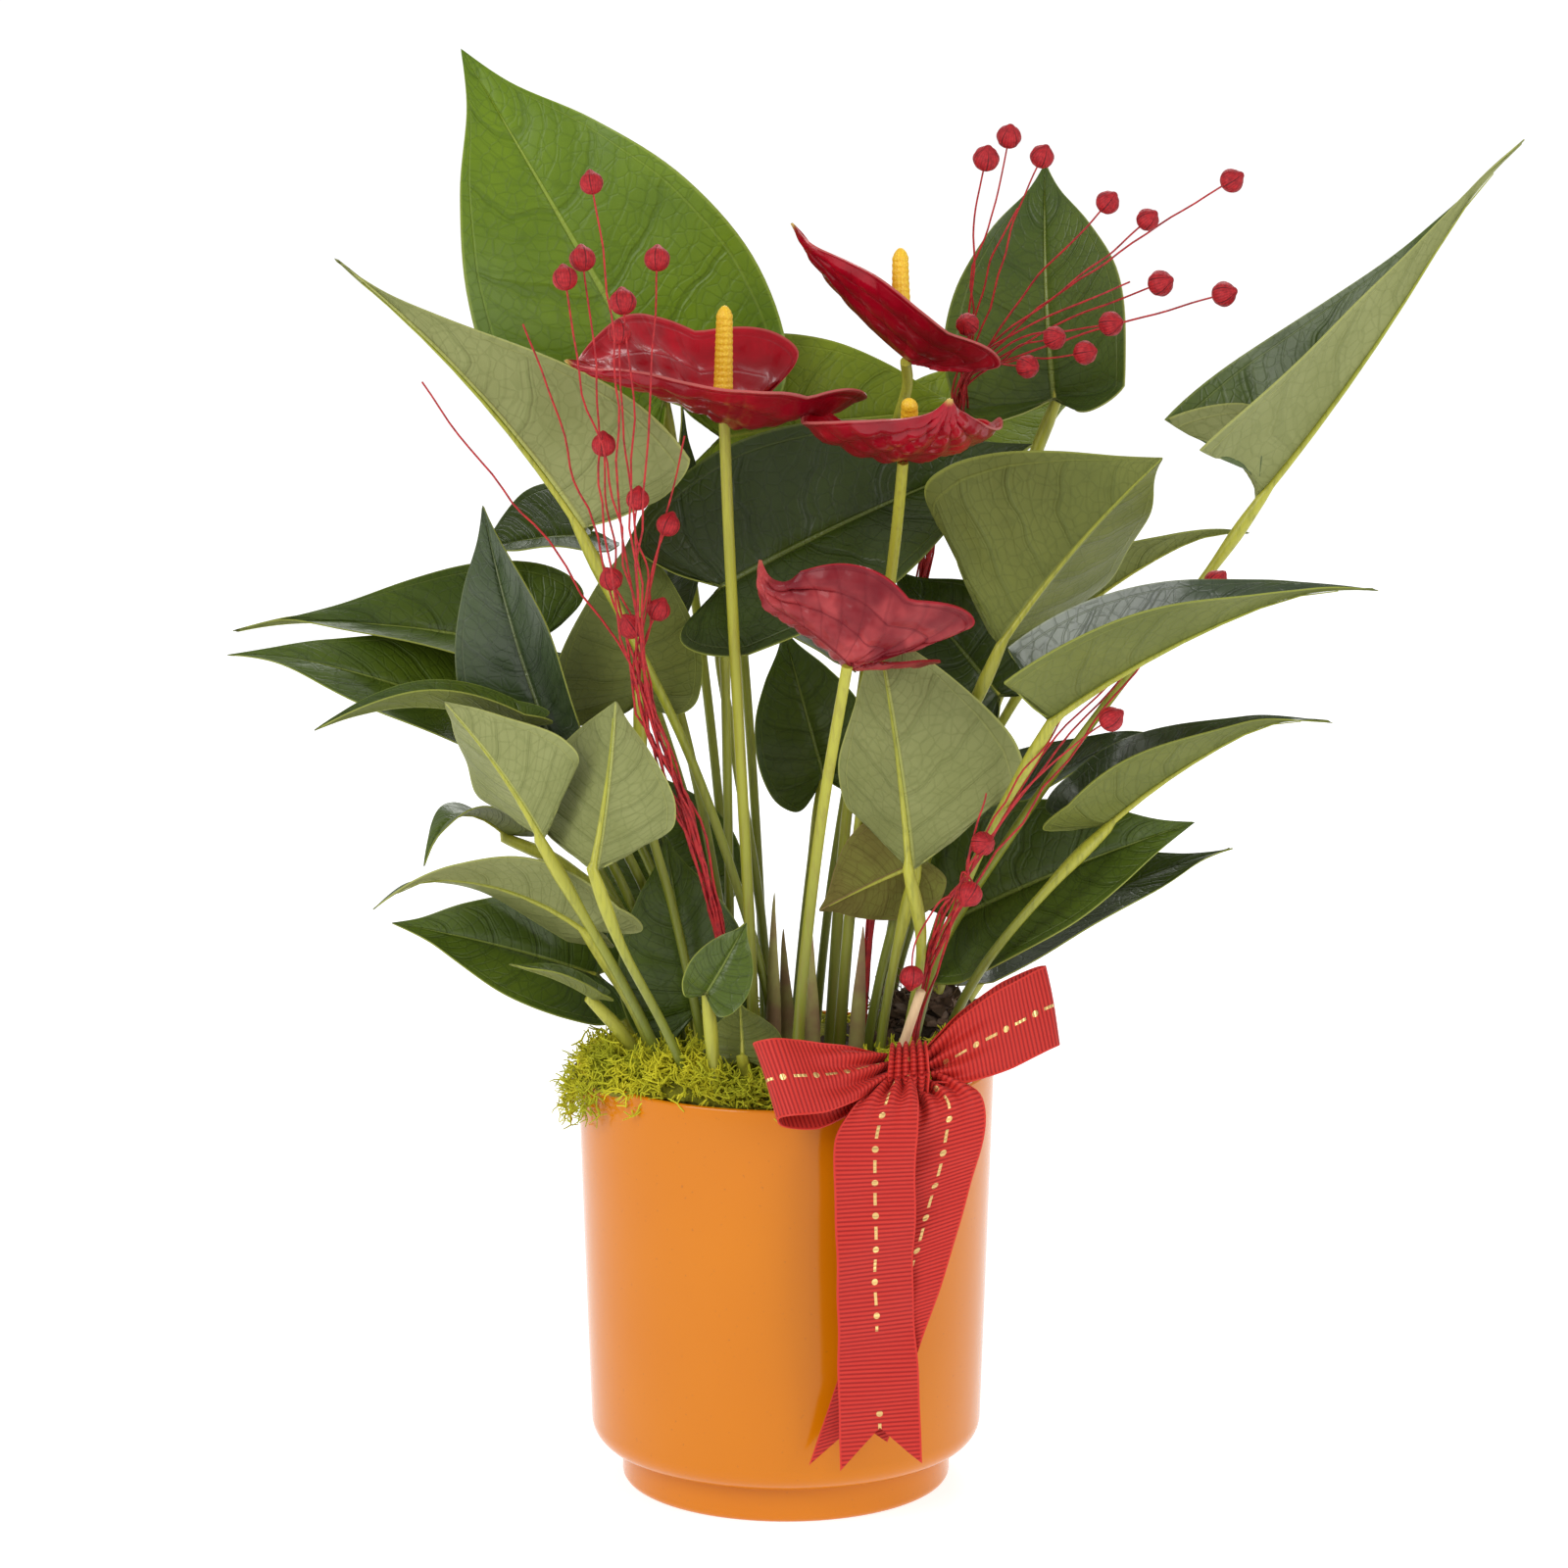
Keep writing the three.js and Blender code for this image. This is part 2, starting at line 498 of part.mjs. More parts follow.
// A stalk rises steeply from the mix and leans out to the joint.
function stalkRoute(leaf) {
  const foot = vector([...leaf.foot, MIX_TOP - STEM_DEPTH]);
  const joint = underBlade(leaf, 0);
  const bends = (leaf.bends ?? []).map(vector).reverse();
  if (bends.length === 0) {
    for (const [outward, up] of [[0.2, 0.33], [0.55, 0.68]]) {
      const bend = foot.clone().lerp(joint, outward);
      bend.z = THREE.MathUtils.lerp(foot.z, joint.z, up);
      bends.push(bend);
    }
  }
  return [foot, ...bends, joint];
}

function petioleSolid(leaf, radius) {
  const length = vector(leaf.tip).distanceTo(vector(leaf.joint));
  const route = [...stalkRoute(leaf), underBlade(leaf, PETIOLE_REACH / length)];
  return toSolid(rod(route, radius, PETIOLE_SIDES, PETIOLE_STEPS));
}

function buildLeaf(leaf) {
  const outline = leaf.folded ? FOLDED_OUTLINE : LEAF_OUTLINE;
  const blade = toSolid(slab(bladeRows(leaf, outline), BLADE_THICKNESS));
  return blade.add(petioleSolid(leaf, PETIOLE_RADIUS));
}

// ---------------------------------------------------------------- flowers

// The spathe is a bract like a small leaf; the stem ends under it and the spadix stands on it, each
// cut to its face with a little air between.
function buildSpathe(flower) {
  return toSolid(slab(bladeRows(flower, SPATHE_OUTLINE), SPATHE_THICKNESS));
}

function spatheClearance(flower) {
  return toSolid(slab(bladeRows(flower, SPATHE_OUTLINE), SPATHE_THICKNESS + 2 * GAP));
}

function flowerStemSolid(flower, radius) {
  return toSolid(rod(stalkRoute(flower), radius, PETIOLE_SIDES, PETIOLE_STEPS));
}

function buildSpadix(flower) {
  const profile = [new THREE.Vector2(0, 0), new THREE.Vector2(SPADIX_RADIUS * 0.4, 0)];
  profile.push(new THREE.Vector2(SPADIX_RADIUS, SPADIX_RADIUS * 1.5));
  const domeStart = flower.spadixLength - SPADIX_RADIUS;
  profile.push(new THREE.Vector2(SPADIX_RADIUS * 0.95, domeStart));
  profile.push(new THREE.Vector2(SPADIX_RADIUS * 0.65, domeStart + SPADIX_RADIUS * 0.7));
  profile.push(new THREE.Vector2(0, flower.spadixLength));
  const geometry = new THREE.LatheGeometry(profile, SPADIX_SIDES);
  geometry.rotateX(Math.PI / 2);
  const axis = vector(flower.spadix).normalize();
  geometry.applyQuaternion(new THREE.Quaternion().setFromUnitVectors(new THREE.Vector3(0, 0, 1), axis));
  const base = vector(flower.joint).addScaledVector(axis, SPADIX_LIFT);
  geometry.translate(base.x, base.y, base.z);
  return largest(toSolid(geometry).subtract(spatheClearance(flower)));
}

// ---------------------------------------------------------------- sprigs

// Hair-thin stalks fan out of one trunk, each ending in a round pod.
function buildSprig(sprig) {
  const foot = vector([...sprig.foot, MIX_TOP - STEM_DEPTH]);
  const trunk = [foot, ...sprig.trunk.map(vector)];
  const fan = trunk[trunk.length - 1];
  const below = trunk[trunk.length - 2];
  const solids = [toSolid(rod(trunk, SPRIG_RADIUS, SPRIG_SIDES, SPRIG_STEPS))];
  for (const pod of sprig.pods) {
    const [x, y, z, bow] = pod;
    const middle = new THREE.Vector3(x, y, z);
    const start = fan.clone().lerp(below, STALK_OVERLAP);
    const bend = fan.clone().lerp(middle, 0.45);
    bend.y += bow;
    bend.z += STALK_RISE;
    solids.push(toSolid(rod([start, fan, bend, middle], STALK_RADIUS, STALK_SIDES, STALK_STEPS)));
    const ball = new THREE.IcosahedronGeometry(POD_RADIUS, 0);
    ball.translate(middle.x, middle.y, middle.z);
    solids.push(toSolid(ball));
  }
  return wasm.Manifold.union(solids);
}

// ---------------------------------------------------------------- bow

function buildRibbon(ribbon) {
  const count = ribbon.stations.length;
  const rows = ribbon.stations.map(([middle, across, spread], i) => {
    const half = vector(across).setLength((RIBBON_WIDTH / 2) * spread);
    const centre = vector(middle);
    const row = [centre.clone().sub(half), centre.clone(), centre.clone().add(half)];
    if (ribbon.notch && i === count - 1) {
      row[1].z += ribbon.notch;
    }
    return row;
  });
  return toSolid(slab(rows, RIBBON_THICKNESS));
}

function buildKnot() {
  const ball = new THREE.SphereGeometry(0.5, 10, 7);
  ball.rotateX(Math.PI / 2);
  ball.scale(BOW_KNOT.width, BOW_KNOT.depth, BOW_KNOT.height);
  ball.translate(BOW_KNOT.x, BOW_KNOT.y, BOW_KNOT.z);
  return toSolid(ball);
}

function stickSolid(width) {
  const route = [vector(STICK_FOOT), vector(STICK_FOOT).lerp(vector(STICK_TIP), 0.5), vector(STICK_TIP)];
  return toSolid(rod(route, width / 2, 8, 1));
}

// ---------------------------------------------------------------- pot, mix and moss

function arc(centreR, centreZ, radius, fromDegrees, toDegrees, steps) {
  const points = [];
  for (let i = 0; i <= steps; i += 1) {
    const angle = THREE.MathUtils.degToRad(fromDegrees + ((toDegrees - fromDegrees) * i) / steps);
    points.push(new THREE.Vector2(centreR + radius * Math.cos(angle), centreZ + radius * Math.sin(angle)));
  }
  return points;
}

function turned(profile, sides) {
  const geometry = new THREE.LatheGeometry(profile, sides);
  geometry.rotateX(Math.PI / 2);
  return geometry;
}

function buildPot() {
  const lip = POT_WALL / 2;
  const insideFoot = POT_FOOT_RADIUS - POT_WALL;
  const profile = [
    new THREE.Vector2(0, 0),
    ...arc(POT_FOOT_RADIUS - POT_FOOT_EDGE, POT_FOOT_EDGE, POT_FOOT_EDGE, -90, 0, 2),
    new THREE.Vector2(POT_FOOT_RADIUS, POT_STEP_HEIGHT),
    ...arc(POT_BODY_RADIUS - POT_BODY_CORNER, POT_STEP_HEIGHT + POT_BODY_CORNER, POT_BODY_CORNER, -70, 0, 3),
    ...arc(POT_RIM_RADIUS - lip, POT_HEIGHT - lip, lip, 0, 180, 3),
    new THREE.Vector2(POT_BODY_RADIUS - POT_WALL, POT_STEP_HEIGHT + POT_BODY_CORNER),
    new THREE.Vector2(insideFoot, POT_STEP_HEIGHT + POT_WALL),
    new THREE.Vector2(insideFoot, POT_FLOOR),
    new THREE.Vector2(0, POT_FLOOR),
  ];
  return toSolid(turned(profile, POT_SIDES));
}

// The mix fills the pot to its shoulder, with a heap of rough bark at the back right.
function buildMix() {
  const foot = POT_FOOT_RADIUS - POT_WALL - GAP;
  const body = POT_BODY_RADIUS - POT_WALL - GAP;
  const top = MOSS_OUTER_RADIUS;
  const profile = [
    new THREE.Vector2(0, POT_FLOOR + GAP),
    new THREE.Vector2(foot, POT_FLOOR + GAP),
    new THREE.Vector2(foot, POT_STEP_HEIGHT + POT_WALL + GAP),
    new THREE.Vector2(body - GAP, POT_STEP_HEIGHT + POT_BODY_CORNER + 2 * GAP),
    new THREE.Vector2(top, MIX_TOP - MIX_BEVEL),
  ];
  for (const part of MIX_RINGS) {
    profile.push(new THREE.Vector2(top * part, MIX_TOP));
  }
  const geometry = turned(profile, MIX_SIDES);
  const position = geometry.attributes.position;
  for (let i = 0; i < position.count; i += 1) {
    const away = Math.hypot(position.getX(i) - MIX_MOUND.x, position.getY(i) - MIX_MOUND.y);
    const rise = MIX_MOUND.height * Math.max(0, 1 - (away / MIX_MOUND.radius) ** 2);
    if (position.getZ(i) > MIX_TOP - MIX_BEVEL / 2) {
      position.setZ(i, position.getZ(i) + rise);
    }
  }
  return toSolid(geometry);
}

// One closed ring of the moss: from the stems over the top to the rim, and over it where it spills.
function mossRing(degrees) {
  const angle = THREE.MathUtils.degToRad(degrees);
  const apart = (degrees - MOSS_SPILL_ANGLE) / MOSS_SPILL_WIDTH;
  const spill = Math.max(0, 1 - apart ** 2);
  const hang = Math.max(0, spill - MOSS_HANG_START) / (1 - MOSS_HANG_START);
  const floor = MIX_TOP + GAP;
  const lumps = MOSS_LUMPS.reduce((sum, lump) => sum + lump.height * Math.sin(lump.count * angle), 0);
  const top = floor + MOSS_HEIGHT + lumps + MOSS_SPILL_HEAP * spill;
  const past = POT_RIM_RADIUS + MOSS_SPILL_OUT;
  const inside = THREE.MathUtils.lerp(MOSS_OUTER_RADIUS, past, spill);
  const outside = THREE.MathUtils.lerp(MOSS_OUTER_RADIUS, past + MOSS_SPILL_THICKNESS, spill);
  const shoulder = outside - spill;
  const profile = [
    [MOSS_INNER_RADIUS, floor],
    [MOSS_INNER_RADIUS, floor + MOSS_HEIGHT * MOSS_STEM_SIDE],
    [MOSS_INNER_RADIUS + MOSS_STEM_SLOPE, top],
    [MOSS_OUTER_RADIUS - MOSS_RIM_SLOPE, top],
    [shoulder, floor + MOSS_SHOULDER + MOSS_SHOULDER_HEAP * spill],
    [outside, floor + MOSS_OUTER_EDGE - MOSS_HANG_DEPTH * hang],
    [inside, floor + MOSS_INNER_EDGE - (MOSS_HANG_DEPTH - 1) * hang],
    [inside, floor + MOSS_OVER_RIM],
    [MOSS_OUTER_RADIUS, floor + MOSS_AT_RIM],
    [MOSS_OUTER_RADIUS, floor],
  ];
  return profile.map(([r, z]) => new THREE.Vector3(r * Math.cos(angle), r * Math.sin(angle), z));
}

// A closed body through rings of points, with a flat fan over each end.
function loft(rings) {
  const count = rings[0].length;
  const points = rings.flat();
  const faces = [];
  for (let i = 0; i + 1 < rings.length; i += 1) {
    for (let j = 0; j < count; j += 1) {
      const a = i * count + j;
      const b = i * count + ((j + 1) % count);
      faces.push(a, b, b + count, a, b + count, a + count);
    }
  }
  for (const ring of [rings[0], rings[rings.length - 1]]) {
    const first = ring === rings[0] ? 0 : (rings.length - 1) * count;
    const middle = ring.reduce((sum, point) => sum.add(point), new THREE.Vector3()).divideScalar(count);
    const hub = points.push(middle) - 1;
    for (let j = 0; j < count; j += 1) {
      const edge = [first + j, first + ((j + 1) % count)];
      faces.push(hub, ...(first === 0 ? edge.reverse() : edge));
    }
  }
  const geometry = new THREE.BufferGeometry().setFromPoints(points);
  geometry.setIndex(faces);
  return geometry;
}

function buildMoss() {
  const rings = [];
  for (let i = 0; i <= MOSS_STATIONS; i += 1) {
    rings.push(mossRing(MOSS_START + ((MOSS_END - MOSS_START) * i) / MOSS_STATIONS));
  }
  return toSolid(loft(rings));
}

// ---------------------------------------------------------------- assembly

const leaves = LEAVES.map((entry) => ({ ...LEAF_DEFAULTS, ...entry }));
const flowers = FLOWERS.map((entry) => ({ ...LEAF_DEFAULTS, ...entry }));

// Every stem and the stick, a little fatter: the holes that they stand in.
const holes = wasm.Manifold.union([
  ...leaves.map((leaf) => petioleSolid(leaf, PETIOLE_RADIUS + GAP)),
  ...flowers.map((flower) => flowerStemSolid(flower, PETIOLE_RADIUS + GAP)),
  ...SPRIGS.map((sprig) => {
    const foot = vector([...sprig.foot, MIX_TOP - STEM_DEPTH]);
    return toSolid(rod([foot, ...sprig.trunk.map(vector)], SPRIG_RADIUS + GAP, SPRIG_SIDES, SPRIG_STEPS));
  }),
  stickSolid(STICK_WIDTH + 2 * GAP),
]);

addPiece('cover_pot', buildPot(), '#e08a1e', 0.25);
addPiece('potting_mix', buildMix().subtract(holes), '#2b211a', 0.95);
addPiece('reindeer_moss', buildMoss().subtract(holes), '#a8b32a', 0.95);
for (const leaf of leaves) {
  addPiece(leaf.name, buildLeaf(leaf), LEAF_GREEN, 0.35);
}
for (const flower of flowers) {
  const stem = largest(flowerStemSolid(flower, PETIOLE_RADIUS).subtract(spatheClearance(flower)));
  addPiece(`${flower.name}_stem`, stem, '#9aa83a', 0.4);
  addPiece(`${flower.name}_spathe`, buildSpathe(flower), SPATHE_RED, 0.2);
  addPiece(`${flower.name}_spadix`, buildSpadix(flower), '#e8b321', 0.6);
}
for (const sprig of SPRIGS) {
  addPiece(sprig.name, buildSprig(sprig), SPRIG_RED, 0.7);
}
addPiece('bow_stick', stickSolid(STICK_WIDTH), '#e3c08f', 0.8);
addPiece('bow_knot', buildKnot(), RIBBON_RED, 0.5);
for (const ribbon of RIBBONS) {
  addPiece(ribbon.name, buildRibbon(ribbon), RIBBON_RED, 0.5);
}

export default group;
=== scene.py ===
import math
import random

import bpy
from mathutils import Matrix, Vector, noise


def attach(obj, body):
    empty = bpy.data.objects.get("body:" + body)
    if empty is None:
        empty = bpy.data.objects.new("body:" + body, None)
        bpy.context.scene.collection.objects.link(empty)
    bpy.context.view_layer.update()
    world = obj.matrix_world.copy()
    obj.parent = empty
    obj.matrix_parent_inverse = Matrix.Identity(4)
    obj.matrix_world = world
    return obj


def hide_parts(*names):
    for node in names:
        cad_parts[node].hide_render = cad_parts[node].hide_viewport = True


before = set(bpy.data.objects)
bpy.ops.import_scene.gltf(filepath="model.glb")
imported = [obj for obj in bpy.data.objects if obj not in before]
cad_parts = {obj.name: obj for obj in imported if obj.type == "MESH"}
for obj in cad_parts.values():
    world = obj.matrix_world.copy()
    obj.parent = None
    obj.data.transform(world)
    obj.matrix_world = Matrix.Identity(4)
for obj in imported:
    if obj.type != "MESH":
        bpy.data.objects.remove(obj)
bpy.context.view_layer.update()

# ---------------------------------------------------------------- camera, light and floor
# A long lens looks slightly down at the plant as it stands on a pale floor that glows like a light
# table, before a white backdrop. Three large soft lamps light it.

CAMERA_PLACE = (0, -1.837, 0.600)
CAMERA_TARGET = (-0.0006, 0, 0.2225)
CAMERA_LENS = 139.1
ROOM_GLOW = 0.55
BACKDROP_GLOW = 1.0
FLOOR_GLOW = 0.76
LAMP_TARGET = (0, 0, 0.22)
# Where each lamp stands, its size and its power.
LAMPS = {
    "key_softbox": ((-1.2, -1.3, 1.3), 1.1, 20),
    "fill_softbox": ((1.5, -1.0, 0.9), 1.1, 10),
    "back_softbox": ((0.2, 1.3, 1.3), 1.0, 12),
}


def aim(thing, target):
    thing.rotation_euler = (Vector(target) - thing.location).to_track_quat("-Z", "Y").to_euler()


bpy.ops.object.camera_add(location=CAMERA_PLACE)
camera = bpy.context.object
camera.data.lens = CAMERA_LENS
camera.data.sensor_width = 36
aim(camera, CAMERA_TARGET)
bpy.context.scene.camera = camera
bpy.context.scene.view_settings.view_transform = "Standard"

world = bpy.data.worlds.new("studio")
bpy.context.scene.world = world
world.use_nodes = True
nodes, links = world.node_tree.nodes, world.node_tree.links
room = nodes["Background"]
backdrop = nodes.new("ShaderNodeBackground")
for glow, strength in ((room, ROOM_GLOW), (backdrop, BACKDROP_GLOW)):
    glow.inputs["Color"].default_value = (1, 1, 1, 1)
    glow.inputs["Strength"].default_value = strength
rays = nodes.new("ShaderNodeLightPath")
either = nodes.new("ShaderNodeMixShader")
links.new(rays.outputs["Is Camera Ray"], either.inputs[0])
links.new(room.outputs[0], either.inputs[1])
links.new(backdrop.outputs[0], either.inputs[2])
links.new(either.outputs[0], nodes["World Output"].inputs[0])

for lamp_name, (lamp_place, lamp_size, lamp_power) in LAMPS.items():
    bpy.ops.object.light_add(type="AREA", location=lamp_place)
    lamp = bpy.context.object
    lamp.name = lamp_name
    lamp.data.size = lamp_size
    lamp.data.energy = lamp_power
    aim(lamp, LAMP_TARGET)

bpy.ops.mesh.primitive_plane_add(size=40, location=(0, 0, 0))
floor = bpy.context.object
floor.name = "floor"
floor_paint = bpy.data.materials.new("floor_paint")
floor_paint.use_nodes = True
floor_shader = floor_paint.node_tree.nodes["Principled BSDF"]
floor_shader.inputs["Base Color"].default_value = (0.5, 0.5, 0.5, 1)
floor_shader.inputs["Roughness"].default_value = 0.8
floor_shader.inputs["Emission Color"].default_value = (1, 1, 1, 1)
floor_shader.inputs["Emission Strength"].default_value = FLOOR_GLOW
floor.data.materials.append(floor_paint)

# ---------------------------------------------------------------- cover pot
# A round glossy orange plastic cover pot with a slight taper, blow moulded in one piece: a thin
# rolled rim, a rounded shoulder under the body and a smaller foot that it stands on.


class Wire:
    """A shader socket that takes part in Python arithmetic; each operation adds a Math node."""

    def __init__(self, paint, socket):
        self.paint = paint
        self.socket = socket

    def maths(self, operation, *values):
        return self.paint.node("ShaderNodeMath", {"operation": operation}, dict(enumerate(values)))

    def __add__(self, other):
        return self.maths("ADD", self, other)

    def __radd__(self, other):
        return self.maths("ADD", other, self)

    def __sub__(self, other):
        return self.maths("SUBTRACT", self, other)

    def __rsub__(self, other):
        return self.maths("SUBTRACT", other, self)

    def __mul__(self, other):
        return self.maths("MULTIPLY", self, other)

    def __rmul__(self, other):
        return self.maths("MULTIPLY", other, self)

    def __truediv__(self, other):
        return self.maths("DIVIDE", self, other)

    def __pow__(self, other):
        return self.maths("POWER", self, other)

    def __abs__(self):
        return self.maths("ABSOLUTE", self)

    def zigzag(self):
        """0 at each whole number, rising to a half midway."""
        return self.maths("PINGPONG", self, 0.5)


class Paint:
    """One procedural material on a Principled shader."""

    def __init__(self, name, **constants):
        self.material = bpy.data.materials.new(name)
        self.material.use_nodes = True
        self.tree = self.material.node_tree
        self.shader = self.tree.nodes["Principled BSDF"]
        for socket_name, value in constants.items():
            self.shader.inputs[socket_name.replace("_", " ")].default_value = value

    def node(self, kind, settings=None, values=None, out=0):
        made = self.tree.nodes.new(kind)
        for key, value in (settings or {}).items():
            setattr(made, key, value)
        for key, value in (values or {}).items():
            if isinstance(value, Wire):
                self.tree.links.new(value.socket, made.inputs[key])
            else:
                made.inputs[key].default_value = value
        return Wire(self, made.outputs[out])

    def place(self):
        """Object coordinates, in metres."""
        return self.node("ShaderNodeTexCoord", out="Object")

    def stretched(self, spread):
        """Object coordinates times three numbers, for a grain that runs along a piece."""
        settings = {"operation": "MULTIPLY"}
        return self.node("ShaderNodeVectorMath", settings, {0: self.place(), 1: spread})

    def chart(self, axis):
        """The first (0) or second (1) coordinate of the piece's own UV map."""
        spot = self.node("ShaderNodeTexCoord", out="UV")
        return self.node("ShaderNodeSeparateXYZ", None, {0: spot}, out=axis)

    def noise(self, spot, scale, detail):
        values = {"Vector": spot, "Scale": scale, "Detail": detail, "Roughness": 0.55}
        return self.node("ShaderNodeTexNoise", None, values)

    def between(self, value, low, high):
        """0 where value is at low, 1 where it is at high, smooth between."""
        settings = {"interpolation_type": "SMOOTHSTEP"}
        return self.node("ShaderNodeMapRange", settings, {0: value, 1: low, 2: high})

    def mix(self, factor, first, second):
        values = {0: factor, 6: self.colour(first), 7: self.colour(second)}
        return self.node("ShaderNodeMix", {"data_type": "RGBA"}, values, out=2)

    def colour(self, value):
        return value if isinstance(value, Wire) else (*value, 1)

    def set(self, socket_name, wire):
        self.tree.links.new(wire.socket, self.shader.inputs[socket_name])

    def bump(self, height, strength, distance):
        values = {"Height": height, "Strength": strength, "Distance": distance}
        self.set("Normal", self.node("ShaderNodeBump", None, values))

    def coat(self, piece):
        """Adds the finish to a piece, in its next material slot."""
        piece.data.materials.append(self.material)


def start(name):
    """Names the piece that was just added or joined, which is the active object."""
    made = bpy.context.object
    made.name = name
    made.data.name = name
    return made


def deselect():
    bpy.ops.object.select_all(action="DESELECT")


def choose(*objects):
    deselect()
    for chosen in objects:
        chosen.select_set(True)
    bpy.context.view_layer.objects.active = objects[0]


def smooth(piece, degrees):
    choose(piece)
    bpy.ops.object.shade_smooth_by_angle(angle=math.radians(degrees))


def drawn_shell(name, sides, rings):
    """A closed round shell drawn up ring by ring; each ring is its radius and height."""
    deselect()
    radius_before, height_before = rings[0]
    bpy.ops.mesh.primitive_circle_add(
        vertices=sides, radius=radius_before, fill_type="NGON", location=(0, 0, height_before)
    )
    shell = start(name)
    bpy.ops.object.mode_set(mode="EDIT")
    bpy.ops.mesh.select_all(action="SELECT")
    for radius, height in rings[1:]:
        bpy.ops.mesh.extrude_region_move(
            TRANSFORM_OT_translate={"value": (0, 0, height - height_before)}
        )
        grow = radius / radius_before
        bpy.ops.transform.resize(value=(grow, grow, 1), center_override=(0, 0, 0))
        radius_before, height_before = radius, height
    bpy.ops.mesh.select_all(action="SELECT")
    bpy.ops.mesh.normals_make_consistent(inside=False)
    bpy.ops.object.mode_set(mode="OBJECT")
    choose(shell)
    bpy.ops.object.transform_apply(location=True, rotation=True, scale=True)
    return shell


def corner(radius, height, size, turns):
    """Rings round a bend of a given size about a middle; 0 degrees is outwards and 90 is up."""
    angles = [math.radians(turn) for turn in turns]
    return [(radius + size * math.cos(a), height + size * math.sin(a)) for a in angles]


POT_HEIGHT = 0.135
POT_RIM_RADIUS = 0.065
POT_BODY_RADIUS = 0.0613
POT_FOOT_RADIUS = 0.0516
POT_STEP = 0.012
POT_WALL = 0.0018
POT_BASE = 0.0025
POT_FOOT_BEND = 0.0025
POT_SHOULDER_BEND = 0.008
POT_LIP_BEND = 0.0009
POT_CREASE = 0.0006

# From the foot up the outside to the rim, over the rim and down the inside.
pot_rings = [(POT_FOOT_RADIUS - POT_FOOT_BEND, 0)]
pot_rings += corner(
    POT_FOOT_RADIUS - POT_FOOT_BEND, POT_FOOT_BEND, POT_FOOT_BEND, (-68, -45, -22, 0))
pot_rings += [
    (POT_FOOT_RADIUS, POT_STEP - POT_CREASE),
    (POT_FOOT_RADIUS + POT_CREASE, POT_STEP + 0.0001),
]
pot_rings += corner(
    POT_BODY_RADIUS - POT_SHOULDER_BEND, POT_STEP + POT_SHOULDER_BEND, POT_SHOULDER_BEND,
    (-78, -66, -54, -42, -30, -18, -6, 0))
pot_rings += [(POT_BODY_RADIUS + 0.0012, 0.055), (POT_BODY_RADIUS + 0.0025, 0.095)]
pot_rings += corner(
    POT_RIM_RADIUS - POT_LIP_BEND, POT_HEIGHT - POT_LIP_BEND, POT_LIP_BEND, range(0, 181, 30))
pot_rings += [
    (POT_BODY_RADIUS + 0.0006, 0.08),
    (POT_BODY_RADIUS - POT_WALL, 0.022),
    (POT_FOOT_RADIUS - POT_WALL, POT_STEP + 0.002),
    (POT_FOOT_RADIUS - POT_WALL, POT_BASE),
]
pot = drawn_shell("pot_body", 144, pot_rings)
smooth(pot, 40)

POT_ORANGE = (0.640, 0.196, 0.001)
POT_ORANGE_DEEP = (0.600, 0.172, 0.001)
POT_SPECK = (0.30, 0.10, 0.02)
pot_paint = Paint("pot_gloss_orange", Coat_Weight=0.1, Coat_Roughness=0.06, Specular_IOR_Level=0.28)
pot_spot = pot_paint.place()
pot_clouds = pot_paint.noise(pot_spot, 22, 2)
pot_specks = pot_paint.between(pot_paint.noise(pot_spot, 900, 1), 0.72, 0.78)
pot_tone = pot_paint.mix(pot_clouds, POT_ORANGE_DEEP, POT_ORANGE)
pot_paint.set("Base Color", pot_paint.mix(pot_specks * 0.35, pot_tone, POT_SPECK))
pot_paint.set("Roughness", 0.13 + pot_clouds * 0.08)
pot_paint.bump(pot_paint.noise(pot_spot, 60, 2), 0.12, 0.0006)
pot_paint.coat(pot)
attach(pot, "root")
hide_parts("cover_pot")

# ---------------------------------------------------------------- potting mix
# Damp dark peat that fills the pot to just under its rim. Chips of bark and coir fibre are mixed in
# and heaped in a loose mound at the right, where the plant was pushed into its pot.


def copies(name, patterns, places):
    """One mesh made of many copies; each place is a pattern's number and a matrix."""
    made = []
    for number, matrix in places:
        twin = patterns[number].copy()
        twin.data = patterns[number].data.copy()
        twin.data.transform(matrix)
        bpy.context.collection.objects.link(twin)
        made.append(twin)
    choose(*made)
    bpy.ops.object.join()
    return start(name)


def discard(*objects):
    choose(*objects)
    bpy.ops.object.delete()


def turn_towards(direction, spin, size):
    """A matrix that stands a pattern's +Z along a direction, turned about it and scaled."""
    swing = Vector(direction).to_track_quat("Z", "Y").to_matrix().to_4x4()
    return swing @ Matrix.Rotation(spin, 4, "Z") @ Matrix.Scale(size, 4)


MIX_HEIGHT = 0.130
MIX_RADIUS = 0.062
MIX_BOTTOM = 0.003
MOUND_PLACE = Vector((0.045, 0.008))
MOUND_RADIUS = 0.020
MOUND_HEIGHT = 0.027
BACK_RISE = 0.0045
BACK_START = 0.025


def mix_top(x, y):
    """The height of the mix at a place: a lumpy bed with its mound and a rise towards the back."""
    away = (Vector((x, y)) - MOUND_PLACE).length / MOUND_RADIUS
    lumps = noise.noise(Vector((x, y, 0.3)) * 130) * 0.0022
    crumbs = noise.noise(Vector((x, y, 0.9)) * 380) * 0.0008
    back = BACK_RISE * min(1, max(0, (y - BACK_START) / 0.02))
    return MIX_HEIGHT + max(MOUND_HEIGHT * (1 - away**2), back) + lumps + crumbs - 0.001


